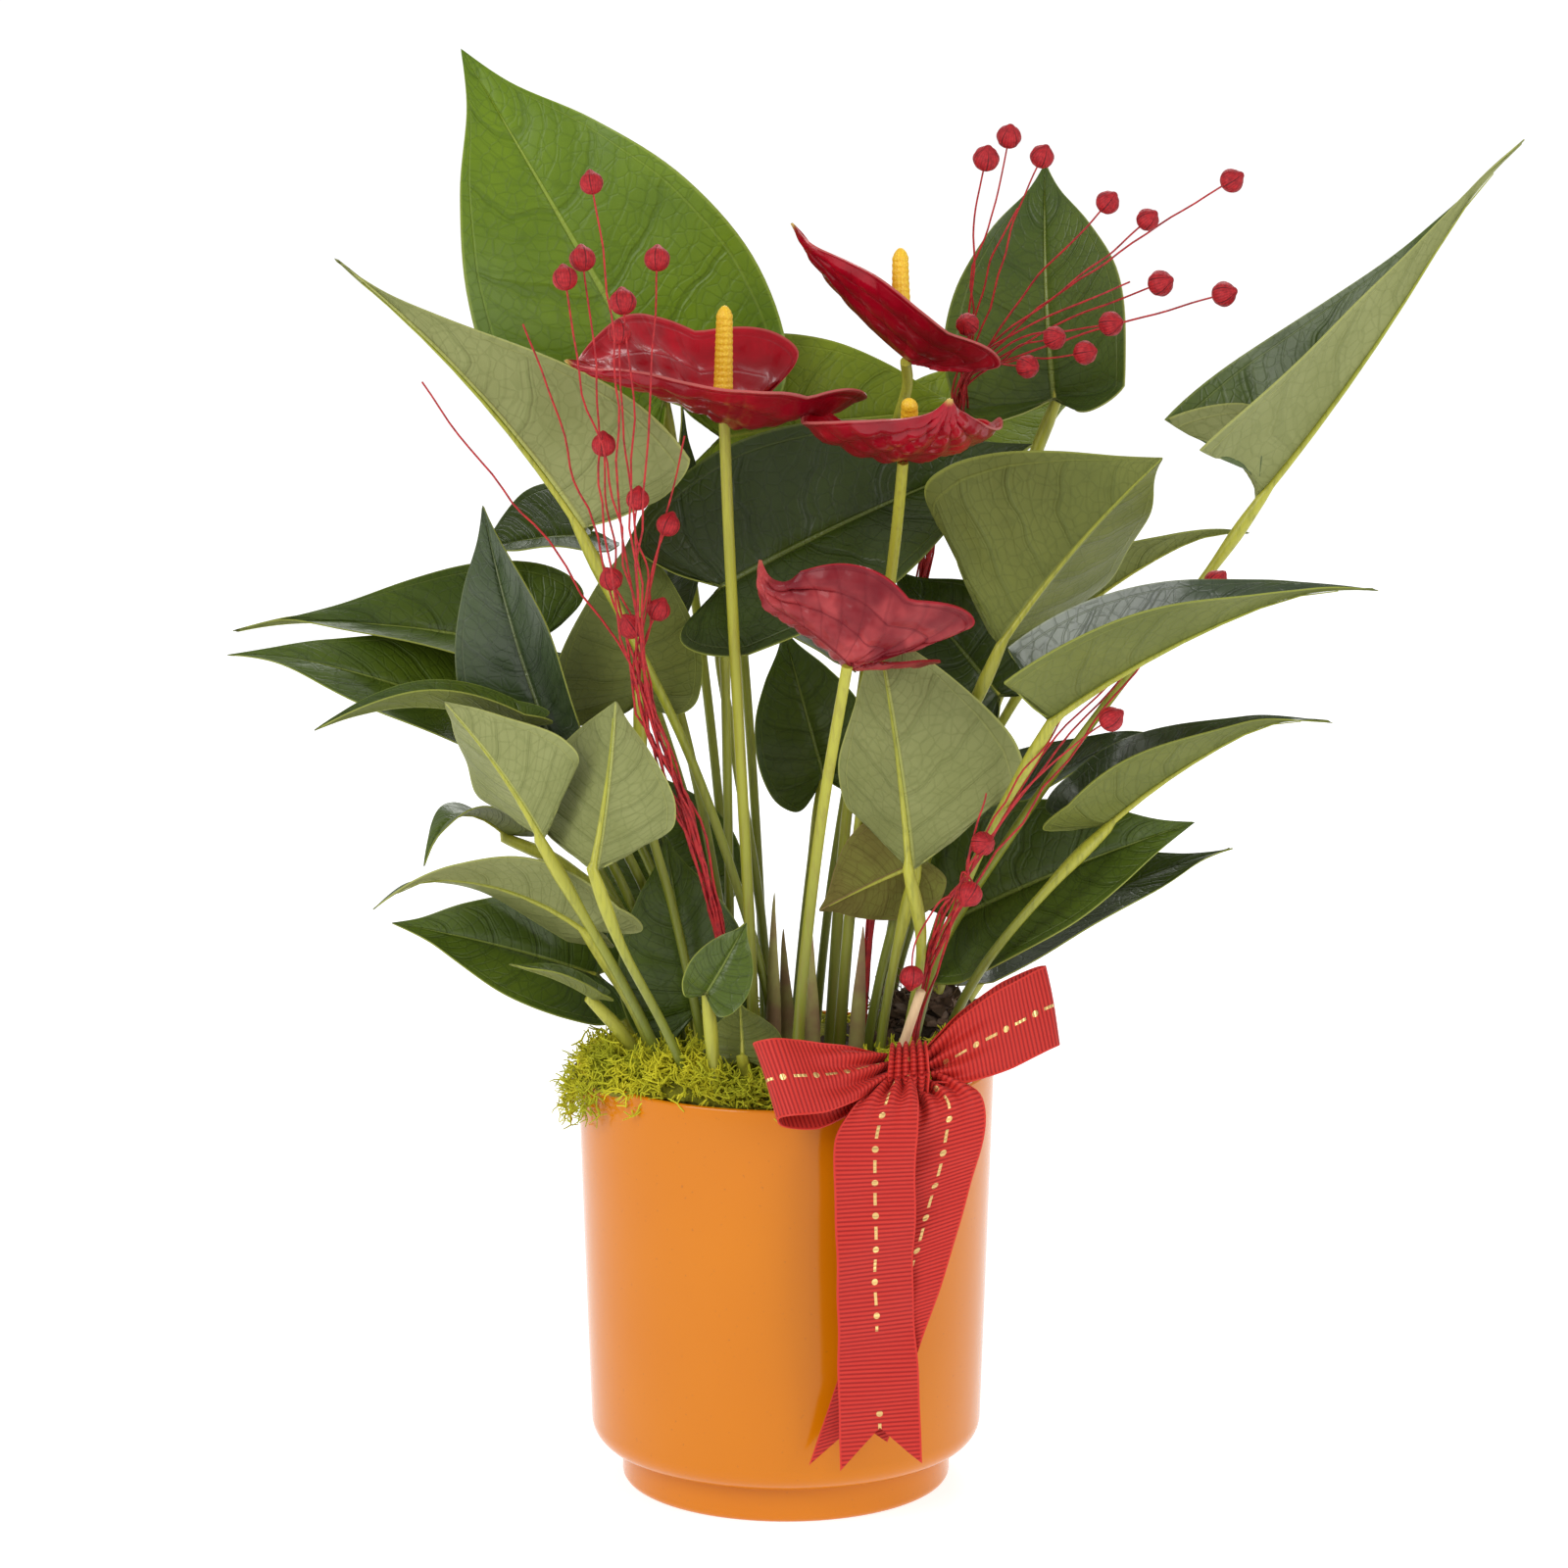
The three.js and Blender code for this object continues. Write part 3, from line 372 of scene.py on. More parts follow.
mix_rings = [(0.049, MIX_BOTTOM), (0.049, 0.0130), (0.0590, 0.0225), (MIX_RADIUS, 0.1275)]
mix_rings += [(MIX_RADIUS - 0.0025 * ring, MIX_HEIGHT) for ring in range(1, 24)]
mix = drawn_shell("potting_soil", 96, mix_rings)
for vertex in mix.data.vertices:
    if vertex.co.z > MIX_HEIGHT - 0.001:
        vertex.co.z = mix_top(vertex.co.x, vertex.co.y)
smooth(mix, 60)


def crumbly(name, scale, dark, light, strength, depth):
    """A dull finish of one fine grain that runs from a dark tone to a light one."""
    paint = Paint(name, Roughness=0.95)
    grain = paint.noise(paint.place(), scale, 4)
    paint.set("Base Color", paint.mix(grain, dark, light))
    paint.bump(grain, strength, depth)
    return paint


crumbly("peat", 700, (0.010, 0.007, 0.005), (0.070, 0.045, 0.028), 0.9, 0.001).coat(mix)
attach(mix, "root")
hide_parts("potting_mix")

# Bark chips: broken slabs with blunt corners, most of them heaped on the mound.
CHIP_SIZE = (0.0105, 0.0050, 0.0026)
CHIP_KINDS = 4
CHIP_COUNT = 330
CHIP_REACH = 0.0595


def on_mound(dice):
    """A place on the mound and its bearing from the middle."""
    turn = dice.uniform(0, 2 * math.pi)
    away = MOUND_RADIUS * math.sqrt(dice.random())
    return MOUND_PLACE.x + away * math.cos(turn), MOUND_PLACE.y + away * math.sin(turn), turn


bark_dice = random.Random(7)
bark_patterns = []
for number in range(CHIP_KINDS):
    deselect()
    bpy.ops.mesh.primitive_cube_add(size=1)
    chip = start(f"chip_{number}")
    bpy.ops.object.mode_set(mode="EDIT")
    bpy.ops.mesh.select_all(action="SELECT")
    bpy.ops.mesh.subdivide(number_cuts=1)
    bpy.ops.object.mode_set(mode="OBJECT")
    for vertex in chip.data.vertices:
        knocked = [axis * bark_dice.uniform(0.65, 1.25) for axis in vertex.co]
        vertex.co = [axis * size for axis, size in zip(knocked, CHIP_SIZE)]
    bark_patterns.append(chip)
bark_places = []
for _ in range(CHIP_COUNT):
    if bark_dice.random() < 0.62:
        x, y, turn = on_mound(bark_dice)
    else:
        turn = bark_dice.uniform(0, 2 * math.pi)
        away = 0.059 * math.sqrt(bark_dice.random())
        x, y = away * math.cos(turn), away * math.sin(turn)
    if math.hypot(x, y) > CHIP_REACH:
        continue
    lean = (bark_dice.uniform(-0.8, 0.8), bark_dice.uniform(-0.8, 0.8), 1)
    spot = Matrix.Translation((x, y, mix_top(x, y) + bark_dice.uniform(0, 0.0025)))
    size = bark_dice.uniform(0.4, 1.0)
    bark_places.append((bark_dice.randrange(CHIP_KINDS), spot @ turn_towards(lean, turn * 3, size)))
bark = copies("bark_chips", bark_patterns, bark_places)
discard(*bark_patterns)
smooth(bark, 25)
bark_paint = Paint("bark", Roughness=0.85)
bark_spot = bark_paint.place()
bark_fibre = bark_paint.noise(bark_spot, 420, 5)
bark_patches = bark_paint.noise(bark_spot, 90, 2)
bark_tone = bark_paint.mix(bark_fibre, (0.030, 0.018, 0.010), (0.170, 0.095, 0.050))
bark_paint.set("Base Color", bark_paint.mix(bark_patches * 0.5, bark_tone, (0.050, 0.034, 0.026)))
bark_paint.bump(bark_fibre, 0.8, 0.0008)
bark_paint.coat(bark)
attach(bark, "root")
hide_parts("potting_mix")


def smooth_line(points, steps):
    """Points along a centripetal Catmull-Rom curve, the given number of steps to each span."""
    ends = [2 * points[0] - points[1], *points, 2 * points[-1] - points[-2]]
    line = []
    for p0, p1, p2, p3 in zip(ends, ends[1:], ends[2:], ends[3:]):
        t1 = max((p1 - p0).length, 1e-6) ** 0.5
        t2 = t1 + max((p2 - p1).length, 1e-6) ** 0.5
        t3 = t2 + max((p3 - p2).length, 1e-6) ** 0.5
        for step in range(steps):
            t = t1 + (t2 - t1) * step / steps
            a1 = p0.lerp(p1, t / t1)
            a2 = p1.lerp(p2, (t - t1) / (t2 - t1))
            a3 = p2.lerp(p3, (t - t2) / (t3 - t2))
            b1 = a1.lerp(a2, t / t2)
            b2 = a2.lerp(a3, (t - t1) / (t3 - t1))
            line.append(b1.lerp(b2, (t - t1) / (t2 - t1)))
    return [*line, points[-1].copy()]


def tube(name, lines, roundness):
    """Round threads or stalks as one mesh; each line is a list of (point, radius)."""
    shape = bpy.data.curves.new(name, "CURVE")
    shape.dimensions = "3D"
    shape.bevel_depth = 1
    shape.bevel_resolution = roundness
    shape.use_fill_caps = True
    for line in lines:
        spline = shape.splines.new("POLY")
        spline.points.add(len(line) - 1)
        for spot, (point, radius) in zip(spline.points, line):
            spot.co = (*point, 1)
            spot.radius = radius
    piece = bpy.data.objects.new(name, shape)
    bpy.context.collection.objects.link(piece)
    choose(piece)
    bpy.ops.object.convert(target="MESH")
    return bpy.context.object


def jitter(dice, reach):
    """A vector that is random in all three directions."""
    return Vector([dice.uniform(-reach, reach) for _ in range(3)])


# Coir: stiff brown fibres that curl out of the mound.
COIR_COUNT = 70
COIR_RADIUS = 0.00016
COIR_REACH = 0.058

coir_lines = []
for _ in range(COIR_COUNT):
    x, y, turn = on_mound(bark_dice)
    if math.hypot(x, y) > COIR_REACH:
        continue
    spot = Vector((x, y, mix_top(x, y)))
    course = Vector((math.cos(turn), math.sin(turn), bark_dice.uniform(0.2, 1.4))).normalized()
    points = [spot]
    for _ in range(4):
        points.append(points[-1] + course * bark_dice.uniform(0.002, 0.0042))
        course = (course + jitter(bark_dice, 0.6)).normalized()
    coir_lines.append([(point, COIR_RADIUS) for point in smooth_line(points, 3)])
coir = tube("coir_fibre", coir_lines, 0)
coir_paint = Paint("coir", Roughness=0.8)
coir_fleck = coir_paint.noise(coir_paint.place(), 300, 3)
coir_tone = coir_paint.mix(coir_fleck, (0.100, 0.058, 0.030), (0.270, 0.165, 0.085))
coir_paint.set("Base Color", coir_tone)
coir_paint.coat(coir)
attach(coir, "root")
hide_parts("potting_mix")

# ---------------------------------------------------------------- moss
# Preserved reindeer moss, dyed yellow-green: a springy mat of finely branched lichen tufts, tucked
# in round the stems and spilling over the rim at the front left.

MOSS_START = 62
MOSS_END = 345
MOSS_SPILL_ANGLE = 203
MOSS_SPILL_WIDTH = 30
MOSS_HEAP_ANGLE = 222
MOSS_HEAP_WIDTH = 62
MOSS_RIGHT_ANGLE = 322
MOSS_RIGHT_WIDTH = 32
MOSS_TOP = 0.1383
MOSS_INSIDE = 0.033
MOSS_OUTSIDE = 0.0615
MOSS_SPILL = 0.008
MOSS_SHOULDER = 0.72  # where the mat begins to round down, from the stems (0) to the rim (1)
TUFT_RADIUS = 0.00058
TUFT_KINDS = 8

moss_dice = random.Random(11)


def tuft_lines():
    """One tuft about 12 mm across: curved threads that fork again and again, ever finer."""
    lines = []
    tips = [(Vector((0, 0, -0.002)), Vector((0, 0, 1)), TUFT_RADIUS, 0)]
    while tips:
        spot, course, radius, level = tips.pop()
        points = [spot]
        for _ in range(2):
            course = (course + jitter(moss_dice, 0.6)).normalized()
            points.append(points[-1] + course * moss_dice.uniform(0.0013, 0.0024))
        lines.append([(point, radius * (1 - 0.2 * k)) for k, point in enumerate(points)])
        if level < 2:
            for _ in range(2):
                fork = (course * 0.7 + jitter(moss_dice, 1) * 1.1).normalized()
                tips.append((points[-1], fork, radius * 0.74, level + 1))
    return lines


def swell(degrees, middle, width):
    """1 at a bearing from the pot's middle, falling to 0 at a width of degrees on either side."""
    return max(0, 1 - ((degrees - middle) / width) ** 2)


def moss_spot(degrees, across):
    """A spot on the mat and the way out of it; across runs from the stems (0) to the rim (1)."""
    angle = math.radians(degrees)
    spill = swell(degrees, MOSS_SPILL_ANGLE, MOSS_SPILL_WIDTH)
    heap = swell(degrees, MOSS_HEAP_ANGLE, MOSS_HEAP_WIDTH)
    right = swell(degrees, MOSS_RIGHT_ANGLE, MOSS_RIGHT_WIDTH)
    lumps = 0.0012 * math.sin(5 * angle) + 0.0008 * math.sin(11 * angle)
    radius = MOSS_INSIDE + (MOSS_OUTSIDE + MOSS_SPILL * spill - MOSS_INSIDE) * across
    drop = max(0, across - MOSS_SHOULDER) / (1 - MOSS_SHOULDER)
    height = MOSS_TOP + lumps + 0.008 * heap + 0.009 * right
    height -= (0.006 + 0.004 * heap) * drop**2 + 0.004 * max(0, 0.25 - across) / 0.25
    lean = across - 0.3
    way = Vector((math.cos(angle) * lean, math.sin(angle) * lean, 0.9 - 0.8 * drop))
    return Vector((radius * math.cos(angle), radius * math.sin(angle), height)), way.normalized()


moss_patterns = [tube(f"tuft_{number}", tuft_lines(), 0) for number in range(TUFT_KINDS)]
moss_places = []


def plant_tuft(spot, way, lean, sizes):
    """Pushes a tuft of its own size and turn into the mat, leaning its own way."""
    way = way + jitter(moss_dice, lean)
    size = moss_dice.uniform(*sizes)
    stand = turn_towards(way, moss_dice.uniform(0, 6.28), size)
    place = Matrix.Translation(spot - way.normalized() * 0.003) @ stand
    moss_places.append((moss_dice.randrange(TUFT_KINDS), place))


# All over the mat, crowded where it is heaped.
for _ in range(1010):
    degrees = MOSS_START + (MOSS_END - MOSS_START) * moss_dice.random()
    if moss_dice.random() < 0.5:
        degrees = MOSS_HEAP_ANGLE + moss_dice.uniform(-55, 62)
    spot, way = moss_spot(degrees, moss_dice.random() ** 0.6)
    spot.z -= 0.0055 * moss_dice.random() ** 1.5
    plant_tuft(spot, way, 0.9, (0.65, 1.05))
# A thick roll along the rim at the front.
for _ in range(270):
    degrees = moss_dice.uniform(196, 318)
    spot, way = moss_spot(degrees, moss_dice.uniform(0.86, 1))
    spot.z += moss_dice.uniform(-0.001, 0.004)
    plant_tuft(spot, way, 0.8, (0.6, 0.95))
# Strands that hang over the rim.
for _ in range(90):
    aside = moss_dice.uniform(-17, 17)
    spot, way = moss_spot(MOSS_SPILL_ANGLE - 8 + aside, 1)
    spot.z -= moss_dice.uniform(0.001, 0.013) * (1 - abs(aside) / 30)
    hang = Vector((way.x, way.y, moss_dice.uniform(-1.6, 0.2)))
    stand = turn_towards(hang, moss_dice.uniform(0, 6.28), moss_dice.uniform(0.5, 0.8))
    moss_places.append((moss_dice.randrange(TUFT_KINDS), Matrix.Translation(spot) @ stand))
moss = copies("moss_tufts", moss_patterns, moss_places)
discard(*moss_patterns)
smooth(moss, 60)
moss_paint = Paint("moss_yellow_green", Roughness=0.85)
moss_place = moss_paint.place()
moss_patch = moss_paint.between(moss_paint.noise(moss_place, 75, 2), 0.35, 0.68)
moss_fine = moss_paint.noise(moss_place, 520, 2)
moss_tone = moss_paint.mix(moss_patch, (0.420, 0.440, 0.006), (0.740, 0.680, 0.016))
moss_paint.set("Base Color", moss_paint.mix(moss_fine * 0.45, moss_tone, (0.220, 0.210, 0.005)))
moss_paint.bump(moss_fine, 0.6, 0.0004)
moss_paint.coat(moss)
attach(moss, "root")
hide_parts("reindeer_moss")

# The dense inside of the mat, where the tufts are matted together; its darker colour is painted
# shade.
MAT_LOW = 0.1292
MAT_UNDER_TUFTS = 0.0045
MAT_BURIED = 0.127  # how low the ring lies where no moss shows

deselect()
bpy.ops.mesh.primitive_torus_add(
    major_segments=128, minor_segments=20, major_radius=0.05, minor_radius=0.01
)
mat = start("moss_mat")
for vertex in mat.data.vertices:
    degrees = math.degrees(math.atan2(vertex.co.y, vertex.co.x)) % 360
    roll = math.atan2(vertex.co.z, math.hypot(vertex.co.x, vertex.co.y) - 0.05)
    across = 0.5 + 0.5 * math.cos(roll)
    spot, _ = moss_spot(degrees, across * 0.98)
    height = MAT_BURIED
    if MOSS_START + 4 < degrees < MOSS_END - 4:
        low = MAT_LOW + 0.0055 * max(0, across - 0.8) / 0.2
        height = low + (spot.z - MAT_UNDER_TUFTS - low) * max(0, math.sin(roll))
        height += 0.0012 * noise.noise(spot * 260)
    vertex.co = (spot.x, spot.y, height)
smooth(mat, 60)
# Dark tones for the inside of the mat: painted shade under the tufts.
crumbly("moss_inside_painted_shade", 600, (0.070, 0.070, 0.003), (0.330, 0.320, 0.008), 1.0, 0.0012).coat(mat)
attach(mat, "root")
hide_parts("reindeer_moss")

# ---------------------------------------------------------------- leaves
# Leathery heart-shaped leaves, grown singly on long round stalks out of the crown. Each blade is
# under half a millimetre thick, glossy above and dull and paler below, where its midrib stands out.


# Half a flat blade from beside the joint round to the tip: how far along and how far out its edge
# is, and how far along the midrib the side vein that ends there begins.
LEAF_EDGE = [
    (-0.02, 0.04, 0), (-0.12, 0.27, 0), (-0.17, 0.58, 0), (-0.04, 0.89, 0.03), (0.2, 1, 0.16),
    (0.45, 0.86, 0.36), (0.68, 0.53, 0.6), (0.86, 0.18, 0.82), (1, 0, 1),
]
# The same where the back lobe is curled forward over the blade.
FOLDED_EDGE = [
    (0.02, 0.1, 0), (0.1, 0.34, 0), (0.2, 0.62, 0), (0.3, 0.95, 0.04), (0.42, 0.95, 0.18),
    (0.56, 0.78, 0.36), (0.74, 0.47, 0.6), (0.88, 0.19, 0.82), (1, 0, 1),
]
TIP_START = 0.7
BLADE_CROWDING = 1.5  # draws the columns together at the midrib
LATERALS = 8.5  # side veins on each half
LATERAL_LEAN = 0.07
LATERAL_QUILT = 0.020
MIDRIB_TROUGH = 0.0005


def edge_at(edge, t):
    """The edge table read smoothly; t runs from 0 beside the joint to 1 at the tip."""
    spot = t * (len(edge) - 1)
    first = min(int(spot), len(edge) - 2)
    f = spot - first
    p0, p1, p2, p3 = (edge[min(max(first + k, 0), len(edge) - 1)] for k in (-1, 0, 1, 2))
    return [
        b + 0.5 * f * (c - a + f * (2 * a - 5 * b + 4 * c - d + f * (3 * (b - c) + d - a)))
        for a, b, c, d in zip(p0, p1, p2, p3)
    ]


def blade_point(leaf, along, out, side):
    """A point on a blade and the way up from it: along and out from the midrib, side +1 or -1."""
    joint = Vector(leaf["joint"]) * 0.001
    run = Vector(leaf["tip"]) * 0.001 - joint
    length = run.length
    ahead = run.normalized()
    face = Vector(leaf["face"])
    face = (face - ahead * face.dot(ahead)).normalized()
    x = max(along, 0.0)
    tip_part = max(0.0, (x - TIP_START) / (1 - TIP_START))
    arch, hook = leaf["arch"], leaf["hook"]
    spine = joint + run * x + face * length * (arch * 4 * x * (1 - x) + hook * tip_part**2)
    slope = arch * 4 * (1 - 2 * x) + hook * 2 * tip_part / (1 - TIP_START)
    tangent = (ahead + face * slope).normalized()
    sideways = tangent.cross(face).normalized()
    normal = sideways.cross(tangent)
    fold = leaf["fold"] + (leaf["tipFold"] - leaf["fold"]) * x
    rise = math.radians(fold + leaf["curl"] * out * 0.5)
    half = leaf["width"] * 0.0005 * (1 + side * leaf["skew"])
    reach = half * out * (1 - min(x, 1)) ** leaf["taper"]
    point = spine + sideways * side * reach * math.cos(rise) + normal * reach * math.sin(rise)
    up = normal * math.cos(rise) - sideways * side * math.sin(rise)
    if along < 0:
        lift = math.radians(leaf["lift"])
        point += (normal * math.sin(lift) - tangent * math.cos(lift)) * -along * length
    return point, up


def thicken(piece, thickness, offset=0, back=0):
    """Gives a sheet its wall: astride it (offset 0) or behind it (-1), in its back material."""
    wall = piece.modifiers.new("wall", "SOLIDIFY")
    wall.thickness = thickness
    wall.offset = offset
    wall.material_offset = wall.material_offset_rim = back
    choose(piece)
    bpy.ops.object.modifier_apply(modifier=wall.name)


def blade(name, leaf, edge, height, thickness, above, below, rows, columns):
    """A blade of even thickness; height(t, part, side) lifts its face into veins and waves."""
    deselect()
    bpy.ops.mesh.primitive_grid_add(x_subdivisions=rows, y_subdivisions=columns, size=1)
    piece = start(name)
    above.coat(piece)
    below.coat(piece)
    for vertex in piece.data.vertices:
        t = vertex.co.x + 0.5
        across = vertex.co.y * 2
        side = 1 if across > 0 else -1
        part = abs(across) ** BLADE_CROWDING
        edge_along, edge_out, vein_start = edge_at(edge, t)
        edge_along *= leaf["lobe"] if edge_along < 0 else 1
        along = vein_start + (edge_along - vein_start) * part
        point, up = blade_point(leaf, along, max(edge_out, 0) * part, side)
        vertex.co = point + up * height(t, part, side) * min(1, (1 - t) * 6)
    piece.data.update()
    facing = sum((f.normal * f.area for f in piece.data.polygons), Vector())
    bpy.ops.object.mode_set(mode="EDIT")
    bpy.ops.mesh.select_all(action="SELECT")
    bpy.ops.mesh.remove_doubles(threshold=0.00002)
    if facing.dot(Vector(leaf["face"])) < 0:
        bpy.ops.mesh.flip_normals()
    bpy.ops.object.mode_set(mode="OBJECT")
    thicken(piece, thickness, -1, 1)
    smooth(piece, 70)
    return piece


def vein_parts(paint):
    """Shares of midrib, side veins, fine veins, edge vein and margin, from the blade's own map."""
    t = paint.chart(0)
    part = abs(paint.chart(1) * 2 - 1) ** BLADE_CROWDING
    midrib = paint.between(part, 0.05 - 0.03 * t, 0.012)
    wander = paint.noise(paint.place(), 34, 2) - 0.5
    path = LATERALS * (t - LATERAL_LEAN * part * part) + 0.9 * wander
    swing = path.zigzag()
    inside = paint.between(part, 0.93, 0.84)
    lateral = paint.between(swing, 0.062, 0.018) * inside
    minor = paint.between((path * 4 + 0.35).zigzag(), 0.14, 0.03) * inside
    collective = paint.between(abs(part - 0.885 + 0.012 * swing), 0.014, 0.004)
    margin = paint.between(part, 0.972, 0.99)
    return midrib, lateral, minor, collective, margin


def leaf_paint(name, ground, shade, line, rib, roughness, coat, relief):
    """Ground clouded with shade, a fine net and side veins in line, midrib and margin in rib."""
    paint = Paint(name, Coat_Weight=coat, Coat_Roughness=0.2, Specular_IOR_Level=0.2 + 0.6 * coat)
    midrib, lateral, minor, collective, margin = vein_parts(paint)
    spot = paint.place()
    clouds = paint.noise(spot, 26, 3)
    fine = paint.noise(spot, 260, 3)
    cells = paint.node(
        "ShaderNodeTexVoronoi", {"feature": "DISTANCE_TO_EDGE"}, {"Vector": spot, "Scale": 240}
    )
    net = paint.between(cells, 0.10, 0.01)
    tone = paint.mix(paint.between(clouds, 0.32, 0.70), ground, shade)
    tone = paint.mix(paint.between(fine, 0.45, 0.75) * 0.25, tone, shade)
    tone = paint.mix(net * 0.3, tone, line)
    tone = paint.mix(minor * 0.16, tone, line)
    tone = paint.mix(lateral * 0.38, tone, line)
    tone = paint.mix(collective * 0.22, tone, rib)
    tone = paint.mix(midrib * 0.8, tone, rib)
    tone = paint.mix(margin * 0.65, tone, rib)
    paint.set("Base Color", tone)
    paint.set("Roughness", roughness + 0.2 * clouds)
    lines = net * 0.15 + minor * 0.25 + lateral * 0.8 + collective * 0.6 + midrib * 1.2
    paint.bump(lines * relief + clouds * 1.2 + fine * 0.35, 0.5, 0.0009)
    return paint


# Ground, shade, vein and midrib colours, roughness and coat. Veins are sunk on the upper side and
# stand out on the under side. Several palettes hold painted light, noted at each.
LEAF_TOPS = {
    # Brighter yellow-green: partly the leaf's own colour, partly painted backlight shining through
    # it.
    "bright_painted_backlight": (
        (0.137, 0.220, 0.005), (0.093, 0.162, 0.003), (0.058, 0.110, 0.003),
        (0.267, 0.348, 0.046), 0.30, 0.12),
    # Paler still: painted backlight, a lit copy of the leaf top.
    "painted_backlight": (
        (0.225, 0.290, 0.014), (0.160, 0.220, 0.010), (0.110, 0.165, 0.008),
        (0.330, 0.390, 0.050), 0.32, 0.1),
    "green": (
        (0.077, 0.118, 0.008), (0.046, 0.079, 0.006), (0.030, 0.053, 0.005),
        (0.197, 0.244, 0.041), 0.27, 0.18),
    # A darker copy for leaves deep in the plant: partly their own deep green, partly painted shade.
    "dark": (
        (0.039, 0.065, 0.003), (0.026, 0.044, 0.003), (0.016, 0.030, 0.003),
        (0.122, 0.157, 0.026), 0.26, 0.2),
    # Grey-blue tint over the leaf's own dark green: a painted sheen of reflected light.
    "bluish_painted_sheen": (
        (0.046, 0.075, 0.018), (0.027, 0.048, 0.013), (0.017, 0.031, 0.011),
        (0.128, 0.157, 0.052), 0.22, 0.45),
    "dry": (
        (0.150, 0.165, 0.026), (0.120, 0.105, 0.022), (0.090, 0.075, 0.016),
        (0.220, 0.150, 0.050), 0.6, 0.0),
}
LEAF_BACKS = {
    "olive": (
        (0.162, 0.183, 0.035), (0.116, 0.137, 0.026), (0.093, 0.114, 0.021),
        (0.302, 0.331, 0.052), 0.46, 0.05),
    # Paler underside: its own lighter colour, and a grey-blue lift that is a painted sheen of
    # reflected light.
    "pale": (
        (0.262, 0.280, 0.104), (0.200, 0.219, 0.070), (0.156, 0.178, 0.050),
        (0.383, 0.400, 0.104), 0.5, 0.05),
    "dry": (
        (0.200, 0.215, 0.038), (0.150, 0.125, 0.028), (0.110, 0.085, 0.018),
        (0.230, 0.160, 0.060), 0.7, 0.0),
}
upper_sides = {
    name: leaf_paint("leaf_top_" + name, *finish, -1) for name, finish in LEAF_TOPS.items()
}
under_sides = {
    name: leaf_paint("leaf_back_" + name, *finish, 1) for name, finish in LEAF_BACKS.items()
}


def stalk_paint(name, lower, upper, streak):
    """Green at the crown, more yellow where it swells under the blade, finely streaked."""
    paint = Paint(name, Coat_Weight=0.1, Coat_Roughness=0.3)
    rise = paint.node("ShaderNodeSeparateXYZ", None, {0: paint.place()}, out=2)
    streaks = paint.noise(paint.stretched((900, 900, 60)), 1, 3)
    tone = paint.mix(paint.between(rise, 0.14, 0.26), lower, upper)
    ripe = paint.node("ShaderNodeAttribute", {"attribute_name": "ripeness"}, out=2)
    tone = paint.mix(ripe, tone, (0.430, 0.420, 0.040))
    tone = paint.mix(paint.between(streaks, 0.45, 0.7) * 0.35, tone, streak)
    paint.set("Base Color", tone)
    paint.set("Roughness", 0.36 + 0.15 * streaks)
    paint.bump(streaks, 0.25, 0.0003)
    return paint


def ripen(piece, joint, reach):
    """Marks how near each point of a stalk is to its joint, for its colour."""
    ripeness = piece.data.attributes.new("ripeness", "FLOAT", "POINT")
    for vertex in piece.data.vertices:
        ripeness.data[vertex.index].value = math.exp(-(((vertex.co - joint).length / reach) ** 2))


def stalk_course(plan, top, steps):
    """The middle of a stalk from its foot in the mix, through its own bends, up to its top."""
    foot = Vector((*plan["foot"], 0)) * 0.001 + Vector((0, 0, MIX_HEIGHT - 0.006))
    bends = [Vector(bend) * 0.001 for bend in reversed(plan.get("bends", []))]
    if not bends:
        for outward, upward in ((0.2, 0.33), (0.55, 0.68)):
            bend = foot.lerp(top, outward)
            bend.z = foot.z + (top.z - foot.z) * upward
            bends.append(bend)
    return smooth_line([foot, *bends, top], steps)


def measured(points):
    """How far along a line each of its points is."""
    lengths = [0.0]
    for a, b in zip(points, points[1:]):
        lengths.append(lengths[-1] + (b - a).length)
    return lengths


stalk_green = stalk_paint(
    "leaf_stalk", (0.150, 0.180, 0.014), (0.310, 0.330, 0.022), (0.090, 0.105, 0.012))
STALK_RADIUS = 0.0016
KNUCKLE = 0.0007  # how much a stalk swells below its blade, and how far below
KNUCKLE_DOWN = 0.012
STALK_FLARE = 0.0003
BLADE_THICKNESS = 0.00045

LEAF_DEFAULTS = dict(
    fold=12, curl=10, arch=0.05, hook=0, lobe=1, lift=20, taper=0, skew=0, folded=False,
    top="green", back="olive", wave=0.022,
)
